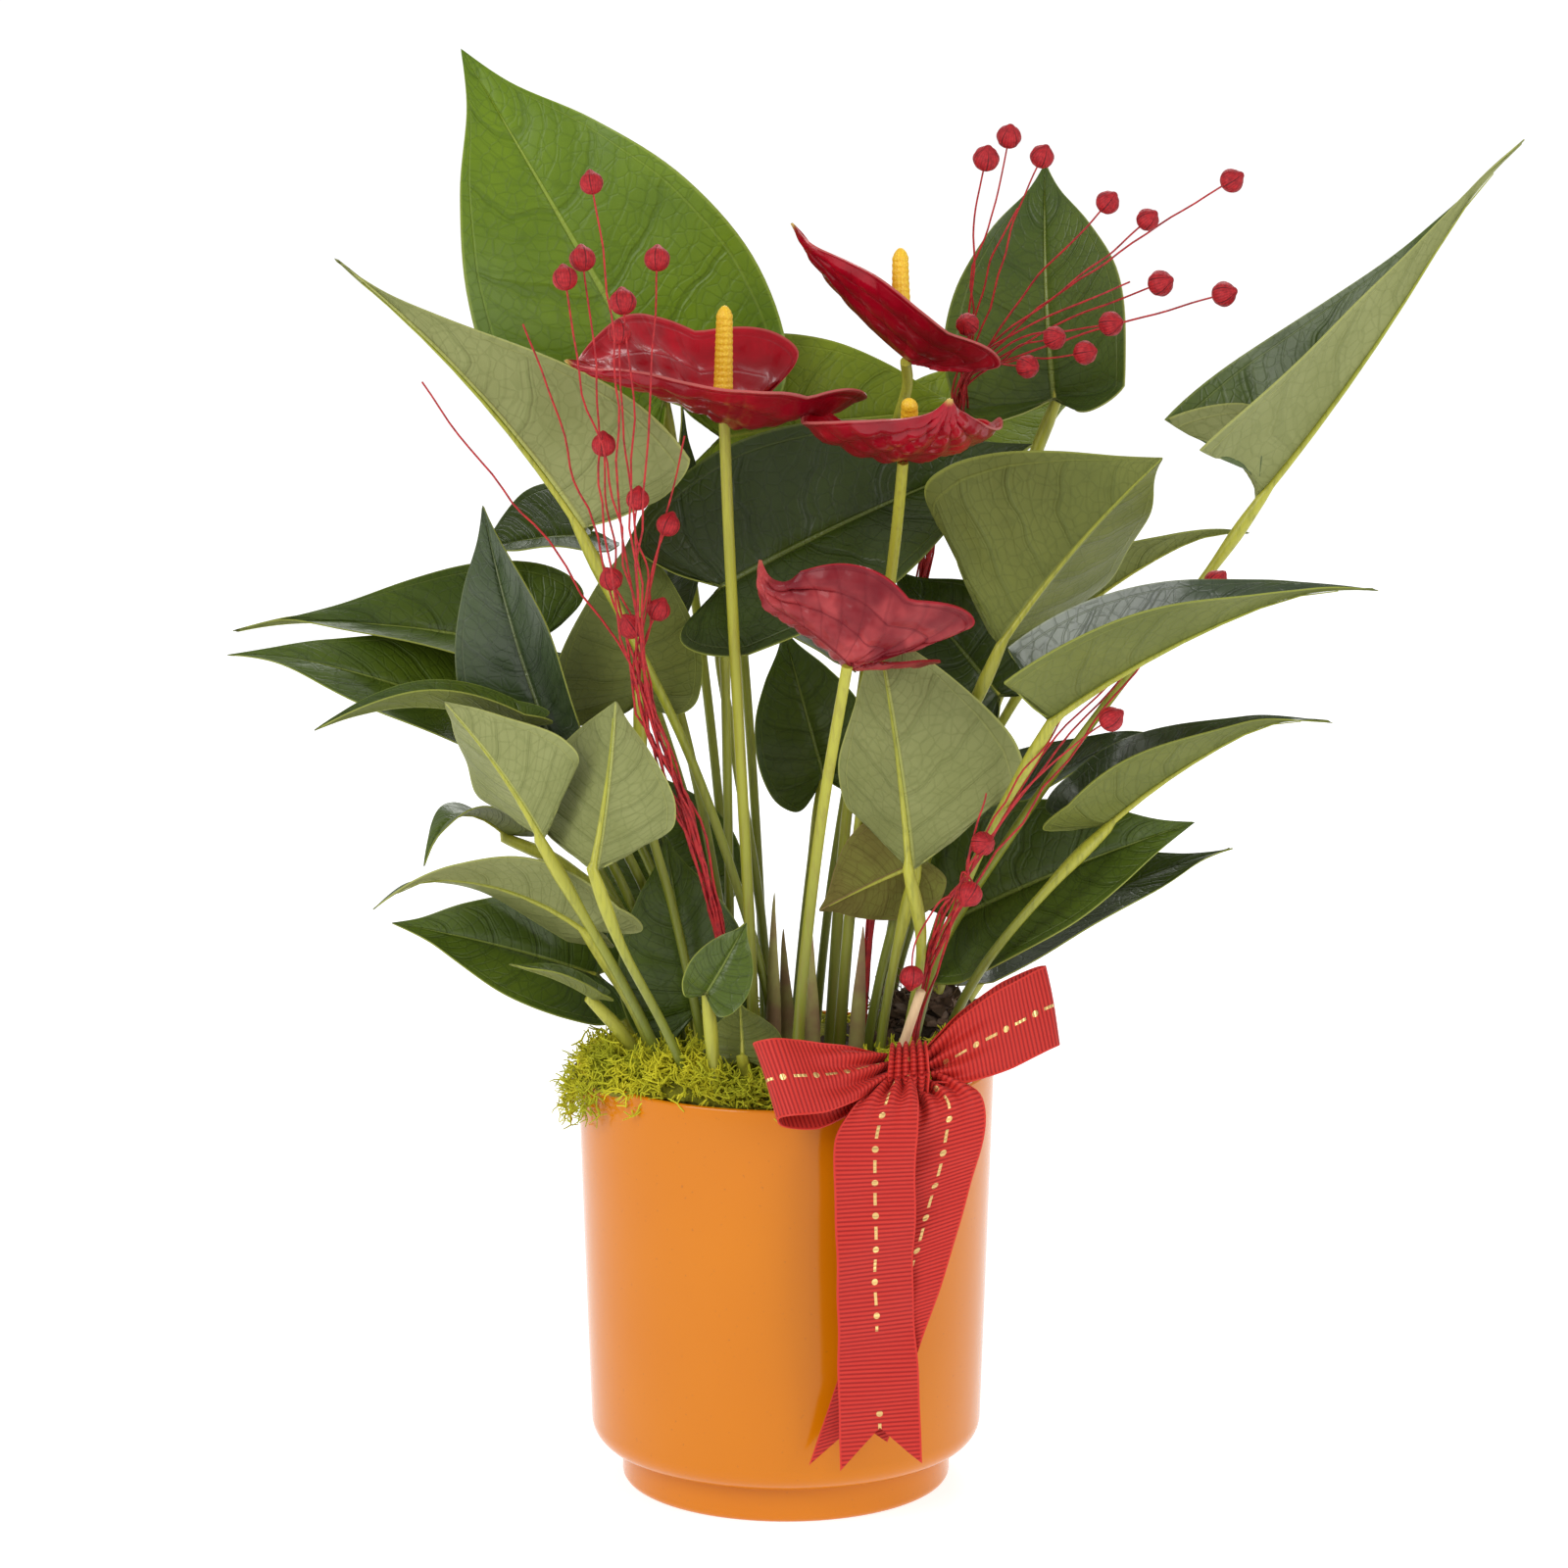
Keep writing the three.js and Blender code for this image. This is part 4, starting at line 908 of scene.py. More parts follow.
# Millimetres and degrees: where the blade meets its stalk, its tip, the way its upper side looks,
# its width and how it folds, curls, arches and tapers, and where its stalk stands and bends.
LEAVES = {
    "tall_back": dict(
        joint=[-38, 34, 338], tip=[-101, 52, 445], face=[0.05, -1, 0.3], width=92, fold=8, curl=8,
        arch=0.03, lift=30, foot=[-15, 26], top="bright_painted_backlight"),
    "high_left": dict(
        joint=[-61, -30, 308], tip=[-134, -45, 391], face=[0.74, 1, 0.68], width=84, fold=38,
        tipFold=60, curl=-5, lobe=0.3, taper=0.9, foot=[-1, -22], bends=[[-47, -30, 275],
        [-31, -28, 241], [-17, -25, 202], [-6, -23, 162]], back="pale"),
    "back_centre": dict(
        joint=[-20, 40, 325], tip=[60, 46, 333], face=[0, -1, 0.5], width=60, fold=5,
        foot=[-6, 30], top="painted_backlight"),
    "back_right": dict(
        joint=[42, 50, 318], tip=[93, 62, 335], face=[-0.1, -0.7, 0.7], width=46, fold=10,
        foot=[8, 28], top="painted_backlight"),
    "high_right": dict(
        joint=[83, 27, 339], tip=[81, 57, 409], face=[-0.35, -0.9, 0.2], width=66, fold=20,
        lift=60, foot=[26, 22], top="green", back="pale"),
    "far_right": dict(
        joint=[143, -17, 315], tip=[216, -12, 427], face=[-0.8, -0.2, 0.6], width=80, fold=58,
        curl=0, lobe=-0.9, arch=-0.03, hook=-0.06, taper=0.9, foot=[31, -10],
        bends=[[127, -16, 289], [104, -16, 259], [72, -16, 214], [46, -14, 170]], top="green",
        back="pale"),
    "centre": dict(
        joint=[-20, -3, 285], tip=[76, 12, 327], face=[0.1, -0.75, 0.6], width=74, fold=22,
        curl=5, lift=30, foot=[-17, -3], top="dark"),
    "right_centre": dict(
        joint=[65, -27, 271], tip=[113, -36, 330], face=[-0.3, 0.85, 0.3], width=84, fold=25,
        folded=True, skew=0.15, foot=[22, -16]),
    "dark_right": dict(
        joint=[66, 2, 250], tip=[34, 14, 287], face=[0, -1, 0.2], width=54, foot=[26, 3],
        top="dark"),
    "right": dict(
        joint=[79, -51, 253], tip=[173, -64, 300], face=[-0.3, -0.1, 0.9], width=58, fold=50,
        curl=0, lobe=0, hook=-0.06, taper=0.4, foot=[35, -24], top="bluish_painted_sheen"),
    "right_behind": dict(
        joint=[84, 36, 265], tip=[142, 24, 302], face=[-0.2, 0.5, 0.8], width=36, fold=20,
        hook=-0.08, taper=0.3, foot=[28, 27], top="bluish_painted_sheen"),
    "lower_right": dict(
        joint=[98, -15, 213], tip=[162, -29, 254], face=[-0.35, -0.1, 0.9], width=44, fold=50,
        curl=0, hook=-0.1, taper=0.6, foot=[41, -16], bends=[[82, -25, 197], [58, -24, 166]],
        top="bluish_painted_sheen"),
    "low_right_inner": dict(
        joint=[58, 30, 200], tip=[122, 24, 238], face=[0, -0.3, 0.9], width=44, fold=20,
        hook=-0.1, taper=0.6, foot=[37, 25], top="bluish_painted_sheen"),
    "low_right": dict(
        joint=[53, 4, 179], tip=[126, -12, 213], face=[0.1, -0.8, 0.6], width=56, fold=18,
        foot=[42, 0], top="green"),
    "low_right_under": dict(
        joint=[66, 18, 166], tip=[139, 6, 201], face=[0.1, -0.5, 0.85], width=44, fold=10,
        taper=0.3, foot=[46, 12], top="dark"),
    "front_centre": dict(
        joint=[38, -52, 207], tip=[27, -36, 281], face=[0.25, 0.95, 0.1], width=64, fold=22,
        folded=True, skew=-0.2, foot=[31, -34], bends=[[41, -48, 184], [38, -41, 158]],
        back="pale"),
    "brown": dict(
        joint=[40, -29, 204], tip=[10, -34, 190], face=[0, 1, 0.1], width=36, fold=15,
        foot=[27, -27], top="dry", back="dry"),
    "dark_left": dict(
        joint=[-72, -22, 241], tip=[-92, -21, 313], face=[-0.45, -0.9, 0.1], width=44, fold=25,
        foot=[-23, -4], top="bluish_painted_sheen"),
    "left": dict(
        joint=[-81, 24, 261], tip=[-169, -2, 274], face=[0, -0.6, 0.8], width=60, fold=25,
        hook=-0.05, taper=1, foot=[-21, 15], top="green"),
    "left_under": dict(
        joint=[-87, 8, 239], tip=[-169, -16, 269], face=[0, -0.6, 0.8], width=46, fold=8,
        hook=-0.05, taper=0.2, foot=[-32, 8]),
    "left_rolled": dict(
        joint=[-83, -36, 248], tip=[-142, -48, 249], face=[0, -0.1, 1], width=20, fold=40,
        arch=0.12, foot=[-27, -11], bends=[[-70, -21, 228], [-56, -18, 206], [-38, -15, 164]]),
    "left_pale": dict(
        joint=[-73, -52, 217], tip=[-102, -60, 260], face=[0.3, 0.8, 0.5], width=46, fold=20,
        folded=True, foot=[-32, -30], bends=[[-62, -48, 193], [-44, -38, 157]], back="pale"),
    "front_left": dict(
        joint=[-57, -62, 209], tip=[-51, -54, 259], face=[0.3, 0.9, 0.1], width=64, fold=28,
        folded=True, skew=0.3, foot=[-24, -38], bends=[[-50, -60, 186], [-37, -52, 158]],
        back="pale"),
    "left_centre": dict(
        joint=[-44, -24, 255], tip=[-46, 2, 303], face=[0.1, 0.95, 0.3], width=50, fold=15,
        lobe=0.6, skew=0.25, foot=[-21, -26], bends=[[-43, -27, 222], [-34, -28, 187]],
        back="olive"),
    "curled_left": dict(
        joint=[-86, -5, 208], tip=[-111, -25, 202], face=[-0.2, 0, 1], width=22, arch=0.35,
        fold=10, foot=[-36, -11], bends=[[-68, -7, 198], [-46, -10, 178], [-39, -11, 152]]),
    "low_left": dict(
        joint=[-60, -30, 183], tip=[-124, -54, 202], face=[0.1, 0.5, 0.8], width=42, arch=0.12,
        fold=5, hook=-0.1, foot=[-36, -26], back="pale"),
    "lowest_left": dict(
        joint=[-59, -4, 163], tip=[-121, -24, 184], face=[-0.1, -0.8, 0.6], width=40, fold=8,
        foot=[-39, -5], top="green"),
    "folded_left": dict(
        joint=[-59, -34, 163], tip=[-84, -45, 176], face=[0, -0.3, 1], width=10, fold=40,
        foot=[-38, -24]),
    "inner_left": dict(
        joint=[-33, 28, 183], tip=[-48, 32, 224], face=[0, -1, 0.2], width=46, foot=[-22, 20],
        top="green"),
    "low_front": dict(
        joint=[-28, -20, 155], tip=[-37, -14, 209], face=[-0.1, -1, 0.1], width=44, fold=10,
        foot=[-24, -22], top="green"),
    "small_front": dict(
        joint=[-24, -54, 169], tip=[-12, -46, 189], face=[0.3, -0.9, 0.2], width=22, fold=15,
        foot=[-21, -51]),
    "round_front": dict(
        joint=[-13, -46, 147], tip=[-14, -42, 163], face=[0, 0.9, 0.3], width=26, foot=[-11, -39]),
    "back_left": dict(
        joint=[-62, 40, 294], tip=[-96, 30, 291], face=[0, -0.4, 0.9], width=44, fold=15,
        foot=[-14, 32], top="dark"),
    "dark_upright": dict(
        joint=[-40, 16, 273], tip=[-32, 13, 340], face=[0.9, -0.45, 0], width=28, foot=[-14, 9],
        top="dark"),
    "under_centre": dict(
        joint=[-14, 16, 278], tip=[22, 20, 254], face=[0, -0.3, 0.9], width=34, foot=[-4, 12],
        bends=[[-20, 17, 264], [-16, 15, 230], [-8, 13, 180]]),
    "inner_back": dict(
        joint=[12, 50, 215], tip=[-1, 55, 262], face=[0, -1, 0.1], width=40, foot=[2, 18]),
}

leaf_dice = random.Random(41)
for leaf_name, given in LEAVES.items():
    leaf = {**LEAF_DEFAULTS, **given}
    leaf.setdefault("tipFold", leaf["fold"])
    phases = [leaf_dice.uniform(0, 6.28) for _ in range(4)]

    def leaf_height(t, part, side, leaf=leaf, phases=phases):
        """Quilted between the side veins, waved towards the edge and sunk along the midrib."""
        half = leaf["width"] * 0.0005
        path = LATERALS * (t - LATERAL_LEAN * part * part)
        quilt = abs(math.sin(math.pi * path)) ** 0.6 - 0.6
        window = min(1, part * 8) * max(0, min(1, (0.9 - part) * 6))
        wave = math.sin(9 * t + phases[0 if side > 0 else 1]) + 0.5 * math.sin(21 * t + phases[2])
        trough = MIDRIB_TROUGH * math.exp(-((part * half / STALK_RADIUS) ** 2))
        lift = LATERAL_QUILT * quilt * window + leaf["wave"] * 2 * wave * part**3
        return half * lift - trough

    edge = FOLDED_EDGE if leaf["folded"] else LEAF_EDGE
    leaf_piece = blade(
        "blade_" + leaf_name, leaf, edge, leaf_height, BLADE_THICKNESS,
        upper_sides[leaf["top"]], under_sides[leaf["back"]], 60, 26)

    # The stalk swells below its joint and at its foot, and runs on under the blade as the midrib.
    joint_point, joint_up = blade_point(leaf, 0, 0, 1)
    joint_under = joint_point - joint_up * (STALK_RADIUS + 0.0002)
    stalk = stalk_course(leaf, joint_under, 9)
    from_joint = measured(stalk[::-1])[::-1]
    line = []
    for point, away in zip(stalk, from_joint):
        knuckle = KNUCKLE * math.exp(-(((away - KNUCKLE_DOWN) / 0.011) ** 2))
        flare = STALK_FLARE * math.exp(-(((from_joint[0] - away) / 0.02) ** 2))
        line.append((point, STALK_RADIUS * 0.92 + knuckle + flare))
    for along in (0.04, 0.1, 0.2, 0.32, 0.44, 0.56, 0.68, 0.8, 0.9):
        rib = 0.0010 * (1 - along) ** 1.3 * min(1, leaf["width"] / 50) + 0.0001
        point, up = blade_point(leaf, along, 0, 1)
        line.append((point - up * (0.8 * rib + 0.0006), rib))
    stalk_piece = tube("stalk_" + leaf_name, [line], 3)
    stalk_green.coat(stalk_piece)
    smooth(stalk_piece, 60)
    ripen(stalk_piece, joint_under, 0.034)
    choose(leaf_piece, stalk_piece)
    bpy.ops.object.join()
    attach(leaf_piece, "root")
    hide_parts("leaf_" + leaf_name)

# ---------------------------------------------------------------- flowers
# Each flower is a red waxy bract, the spathe, on its own round stem. Its surface is glossy as
# lacquer and puckered between its veins. A yellow spadix of tiny florets stands on its base.

SPATHE_EDGE = [
    (-0.04, 0.05, 0), (-0.2, 0.22, 0), (-0.34, 0.55, 0), (-0.16, 0.9, 0.02), (0.16, 1, 0.14),
    (0.45, 0.84, 0.36), (0.7, 0.5, 0.6), (0.88, 0.16, 0.84), (1, 0, 1),
]
FLOWER_DEFAULTS = dict(wave=0.04, quilt=0.06, seat=0.03, seatLift=0.0008, back="red")
# Millimetres as for the leaves; a spadix has its direction and its length.
FLOWERS = {
    "left": dict(
        joint=[-18, -32, 342], tip=[-65, -62, 363], face=[0.05, -0.2, 1], width=80, fold=2,
        curl=50, arch=0.02, lift=35, lobe=1.6, foot=[-9, -29], bends=[[-17, -36, 302],
        [-14, -36, 242], [-11, -33, 182]], spadix=[0.02, 0, 1], spadixLength=32),
    "top": dict(
        joint=[37, -15, 357], tip=[2, -22, 399], face=[0.6, 0.2, 0.8], width=48, fold=22, curl=20,
        arch=-0.05, lift=20, lobe=1.2, foot=[13, 1], bends=[[37, -2, 347], [33, 17, 327],
        [28, 16, 282], [18, 7, 202]], spadix=[-0.05, 0.15, 1], spadixLength=32),
    "right": dict(
        joint=[35, -48, 331.5], tip=[48, -87, 352.5], face=[-0.1, 0.45, 1], width=64, fold=6,
        curl=24, arch=-0.08, hook=0.06, skew=0.06, lobe=1, lift=42, foot=[15, -18],
        bends=[[33, -38, 306], [28, -26, 262], [20, -21, 190]], spadix=[0.05, -0.45, 1],
        spadixLength=20),
    "low": dict(
        joint=[19, -68, 273], tip=[-13, -66, 295], face=[0.3, 0.6, 0.75], width=60, fold=30,
        curl=10, lobe=2.1, lift=50, hook=0.3, foot=[2, -41], spadix=[0.1, 0.4, 1], spadixLength=16,
        quilt=0.085, seat=0.16, seatLift=0.0045, back="pink"),
}

SPATHE_ARCS = 3.2
SPATHE_RUNGS = 12
SPATHE_THICKNESS = 0.0007
SPADIX_RADIUS = 0.003
FLORET_ROWS = 7
FLORET_TWIST = 1650  # radians for each metre of spadix
STEM_RADIUS = 0.0017
STEM_FLARE = 0.0006


def spathe_paint(name, ground, shade, edge, tip, roughness, coat, crease_shade):
    """Ground clouded with shade, creased between its veins and darkened there with painted shade,
    with a thin edge and a pale tip.
    """
    paint = Paint(name, Coat_Weight=coat, Coat_Roughness=0.08, Specular_IOR_Level=0.18)
    t = paint.chart(0)
    part = abs(paint.chart(1) * 2 - 1) ** BLADE_CROWDING
    arcs = paint.between((part * SPATHE_ARCS).zigzag(), 0.07, 0.02)
    ladder = paint.between((SPATHE_RUNGS * t - 2 * part).zigzag(), 0.1, 0.02) * 0.5
    place = paint.place()
    clouds = paint.noise(place, 45, 3)
    puckers = paint.noise(place, 190, 2)
    folds = paint.between(paint.noise(place, 80, 1), 0.46, 0.6)
    tone = paint.mix(paint.between(clouds, 0.3, 0.7), ground, shade)
    tone = paint.mix(paint.between(puckers, 0.4, 0.75) * 0.4, tone, shade)
    # Darker along the vein arcs, the rungs and the noise folds: painted shade in the creases.
    tone = paint.mix((arcs + ladder) * crease_shade, tone, shade)
    tone = paint.mix(folds * crease_shade, tone, shade)
    tone = paint.mix(paint.between(part, 0.975, 0.992) * 0.6, tone, edge)
    tone = paint.mix(paint.between(t, 0.945, 0.99) * 0.9, tone, tip)
    paint.set("Base Color", tone)
    paint.set("Roughness", roughness + 0.1 * clouds)
    paint.bump(puckers * 0.9 + clouds - folds * crease_shade - arcs * 0.5 - ladder * 0.4, 0.45, 0.0009)
    return paint


spathe_top = spathe_paint(
    "spathe_top", (0.520, 0.001, 0.014), (0.260, 0.001, 0.006), (0.600, 0.130, 0.110),
    (0.620, 0.420, 0.080), 0.26, 0.22, 0.3)
spathe_backs = {
    "red": spathe_paint(
        "spathe_back", (0.400, 0.001, 0.014), (0.200, 0.001, 0.007), (0.560, 0.160, 0.140),
        (0.600, 0.420, 0.100), 0.26, 0.3, 0.35),
    "pink": spathe_paint(
        "spathe_back_pink", (0.480, 0.062, 0.064), (0.150, 0.004, 0.010), (0.400, 0.002, 0.014),
        (0.500, 0.120, 0.080), 0.34, 0.1, 0.6),
}

spadix_paint = Paint("spadix_yellow", Coat_Weight=0.2, Coat_Roughness=0.3)
spadix_florets = spadix_paint.node(
    "ShaderNodeTexVoronoi", None, {"Vector": spadix_paint.place(), "Scale": 1300}
)
# Darker between the florets: painted shade in the gaps between them.
spadix_tone_and_gap_shade = spadix_paint.mix(
    spadix_paint.between(spadix_florets, 0.15, 0.6), (0.980, 0.680, 0.035), (0.880, 0.520, 0.015))
spadix_paint.set("Base Color", spadix_tone_and_gap_shade)
spadix_paint.set("Roughness", 0.42 + 0.2 * spadix_florets)
spadix_paint.bump(1 - spadix_florets, 0.5, 0.0003)

stem_green = stalk_paint(
    "flower_stem_green", (0.170, 0.190, 0.014), (0.380, 0.380, 0.026), (0.220, 0.160, 0.030))

flower_dice = random.Random(23)
for flower_name, given in FLOWERS.items():
    flower = {**LEAF_DEFAULTS, **FLOWER_DEFAULTS, **given}
    flower.setdefault("tipFold", flower["fold"])
    shift = flower_dice.uniform(0, 50)

    def spathe_height(t, part, side, flower=flower, shift=shift):
        """Puckered into rungs between arching veins, with soft lumps and a ruffled edge."""
        half = flower["width"] * 0.0005
        arcs = abs(math.sin(math.pi * part * SPATHE_ARCS)) ** 0.7
        ladder = 0.45 + 0.55 * abs(math.sin(math.pi * (SPATHE_RUNGS * t - 2 * part)))
        window = min(1, part * 5) * max(0, min(1, (1.02 - part) * 5))
        pucker = -flower["quilt"] * arcs * ladder * window
        lumps = 0.06 * noise.noise(Vector((t * 5 + shift, part * side * 2.4, shift))) * part
        ruffle = flower["wave"] * math.sin(17 * t + shift + side) * part**3
        return half * (pucker + lumps + ruffle)

    spathe = blade(
        "spathe_" + flower_name, flower, SPATHE_EDGE, spathe_height, SPATHE_THICKNESS,
        spathe_top, spathe_backs[flower["back"]], 72, 36)
    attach(spathe, "root")
    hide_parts(f"flower_{flower_name}_spathe")

    seat, seat_up = blade_point(flower, flower["seat"], 0, 1)
    base = seat + seat_up * flower["seatLift"]
    reach = flower["spadixLength"] * 0.001
    deselect()
    bpy.ops.mesh.primitive_uv_sphere_add(segments=64, ring_count=112, radius=1)
    spadix = start("spadix_" + flower_name)
    stand = turn_towards(flower["spadix"], 0, 1)
    for vertex in spadix.data.vertices:
        s = math.acos(max(-1, min(1, -vertex.co.z))) / math.pi
        turn = math.atan2(vertex.co.y, vertex.co.x)
        radius = SPADIX_RADIUS * (1 - 0.22 * s)
        radius *= min(1, (s / 0.05) ** 0.5) * max(0, min(1, (1 - s) / 0.09)) ** 0.5
        twist = reach * FLORET_TWIST * s
        rows = FLORET_ROWS * turn
        radius *= 1 + 0.055 * math.cos(rows + twist) * math.cos(rows - twist)
        sway = 0.0006 * math.sin(3 * s)
        spot = Vector((radius * math.cos(turn) + sway, radius * math.sin(turn), reach * s))
        vertex.co = base + stand @ spot
    smooth(spadix, 180)
    spadix_paint.coat(spadix)
    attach(spadix, "root")
    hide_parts(f"flower_{flower_name}_spadix")

    joint_point, joint_up = blade_point(flower, 0, 0, 1)
    joint_under = joint_point - joint_up * 0.0012
    stalk = stalk_course(flower, joint_under, 10)
    line = [(p, STEM_RADIUS + STEM_FLARE * math.exp(-k / 4)) for k, p in enumerate(stalk)]
    stem = tube("stem_" + flower_name, [line], 4)
    stem_green.coat(stem)
    ripen(stem, joint_under, 0.05)
    smooth(stem, 60)
    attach(stem, "root")
    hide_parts(f"flower_{flower_name}_stem")

# ---------------------------------------------------------------- leaf sheaths
# Papery brown scales that once wrapped young leaves stand dry round the foot of the stems, each a
# thin strip rolled to a half tube and frayed to a point.

# Where each stands, its height and the way it leans.
SHEATHS = [
    ((-0.0045, -0.022), 0.066, (0.03, -0.05)),
    ((0.008, -0.026), 0.058, (0.01, -0.06)),
    ((-0.013, -0.028), 0.046, (-0.08, -0.08)),
    ((0.021, -0.024), 0.056, (0.04, -0.04)),
    ((0.001, -0.014), 0.052, (-0.02, 0.02)),
]
SHEATH_RADIUS = 0.0027
SHEATH_THICKNESS = 0.0003

sheath_dice = random.Random(31)
sheath_pieces = []
for spot, height, leans in SHEATHS:
    deselect()
    bpy.ops.mesh.primitive_grid_add(x_subdivisions=14, y_subdivisions=28, size=1)
    sheath = start("sheath")
    turn = sheath_dice.uniform(-0.6, 0.6) - math.pi / 2
    for vertex in sheath.data.vertices:
        side, rise = 2 * vertex.co.x, 0.5 + vertex.co.y
        frayed = 1 - 0.3 * abs(side) ** 1.5 * rise + 0.03 * noise.noise(Vector((9 * side, turn, 0)))
        angle = turn + side * 1.9 * (1 - 0.6 * rise * rise)
        crumple = 1 + 0.1 * noise.noise(Vector((side, 3 * rise, turn)))
        radius = SHEATH_RADIUS * (1 - 0.3 * rise) * crumple
        lift = height * rise * frayed
        vertex.co = (
            spot[0] + leans[0] * lift + radius * math.cos(angle),
            spot[1] + leans[1] * lift + radius * math.sin(angle),
            MIX_HEIGHT - 0.002 + lift,
        )
    thicken(sheath, SHEATH_THICKNESS)
    sheath_pieces.append(sheath)
choose(*sheath_pieces)
bpy.ops.object.join()
sheaths = start("leaf_sheaths")
smooth(sheaths, 60)
sheath_paint = Paint("sheath_brown", Roughness=0.7)
sheath_place = sheath_paint.place()
sheath_streaks = sheath_paint.noise(sheath_place, 420, 3)
sheath_patch = sheath_paint.between(sheath_paint.noise(sheath_place, 90, 2), 0.35, 0.65)
sheath_tone = sheath_paint.mix(sheath_patch, (0.270, 0.170, 0.080), (0.330, 0.320, 0.090))
sheath_tone = sheath_paint.mix(sheath_streaks * 0.5, sheath_tone, (0.170, 0.090, 0.045))
sheath_paint.set("Base Color", sheath_tone)
sheath_paint.bump(sheath_streaks, 0.6, 0.0003)
sheath_paint.coat(sheaths)
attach(sheaths, "root")

# ---------------------------------------------------------------- flax sprigs
# Dried flax, dyed red: bunches of hair-thin stalks pushed into the mix, each ending in a round
# ribbed seed pod with a small point.

SPRIGS = {
    "left": dict(
        foot=[-15, -30], trunk=[[-18, -33, 169], [-24, -38, 201], [-34, -48, 233],
        [-43, -56, 263]], pods=[[-57, -62, 415, -30], [-65, -62, 387, -30], [-60, -56, 392, -30],
        [-48, -62, 380, -30], [-38, -56, 392, -32], [-49, -64, 371, -24], [-54, -58, 337, 0],
        [-44, -60, 321, 0], [-35, -58, 313, 0], [-52, -60, 297, 0], [-46, -62, 283, 0],
        [-38, -56, 287, 0]]),
    "right": dict(
        foot=[23, 2], trunk=[[28, 10, 190], [37, 14, 250], [45, 15, 300], [52, 27, 328],
        [55, 14, 347]], pods=[[55, -12, 367, 0], [67, -14, 424, 0], [60, -20, 418, 0],
        [77, -14, 418, 0], [97, -12, 404, 0], [109, -14, 399, 0], [134, -16, 411, 0],
        [113, -16, 380, 0], [132, -18, 377, 0], [98, -18, 368, 0], [81, -20, 364, 0],
        [90, -24, 360, 0], [73, -18, 355, 0]]),
    "low": dict(
        foot=[38, -25], trunk=[[41, -34, 160], [47, -50, 186], [52, -58, 200]],
        pods=[[59, -62, 217, 0], [55, -64, 202, 0], [38, -54, 174, 0], [97, -62, 255, 0],
        [130, -30, 291, 8], [128, -26, 284, 8], [121, -28, 285, 8]]),
}
# Stalks that have lost their pods: where each ends.
BARE_STALKS = {
    "left": [(-108, -52, 355), (-78, -50, 372), (-30, -60, 340)],
    "right": [(70, -10, 402), (104, -12, 380)],
    "low": [(88, -50, 262), (60, -60, 232)],
}
POD_RADIUS = 0.0039
FLAX_RADIUS = 0.00046
FLAX_TAPER = 0.00018
FLAX_RISE = 0.004
FLAX_RIPPLE = 0.003

pod_dice = random.Random(5)
flax_paint = Paint("flax_red", Roughness=0.65)
flax_scuff = flax_paint.noise(flax_paint.place(), 500, 4)
flax_wear = flax_paint.between(flax_scuff, 0.35, 0.75)
flax_tone = flax_paint.mix(flax_wear, (0.480, 0.014, 0.016), (0.250, 0.004, 0.010))
flax_paint.set("Base Color", flax_tone)
flax_paint.bump(flax_scuff, 0.5, 0.0003)

pod_paint = Paint("flax_pod_red", Specular_IOR_Level=0.35)
pod_scuff = pod_paint.noise(pod_paint.place(), 900, 4)
pod_around = pod_paint.chart(0)
pod_seams = pod_paint.between((pod_around * 5).zigzag(), 0.07, 0.01)
pod_fibres = pod_paint.between((pod_around * 25).zigzag(), 0.3, 0.05)
pod_wear = pod_paint.between(pod_scuff, 0.3, 0.75)
pod_tone = pod_paint.mix(pod_wear, (0.480, 0.012, 0.018), (0.250, 0.004, 0.010))
pod_tone = pod_paint.mix(pod_fibres * 0.4, pod_tone, (0.170, 0.002, 0.006))
pod_tone = pod_paint.mix(pod_seams * 0.8, pod_tone, (0.080, 0.002, 0.004))
pod_paint.set("Base Color", pod_tone)
pod_paint.set("Roughness", 0.45 + 0.3 * pod_scuff)
pod_paint.bump(pod_scuff * 0.6 - pod_seams - pod_fibres * 0.3, 0.5, 0.0004)

deselect()
bpy.ops.mesh.primitive_uv_sphere_add(segments=30, ring_count=14, radius=1)
pod_pattern = start("pod_pattern")
for vertex in pod_pattern.data.vertices:
    turn = math.atan2(vertex.co.y, vertex.co.x)
    level = vertex.co.z
    seam = abs(math.cos(2.5 * turn)) ** 8 * 0.09 + abs(math.sin(2.5 * turn)) ** 10 * 0.04
    girth = 1 - seam * (1 - level**4)
    point = 0.28 * max(0, (level - 0.86) / 0.14) ** 2
    vertex.co = (vertex.co.x * girth, vertex.co.y * girth, level * 0.92 + point)
smooth(pod_pattern, 60)

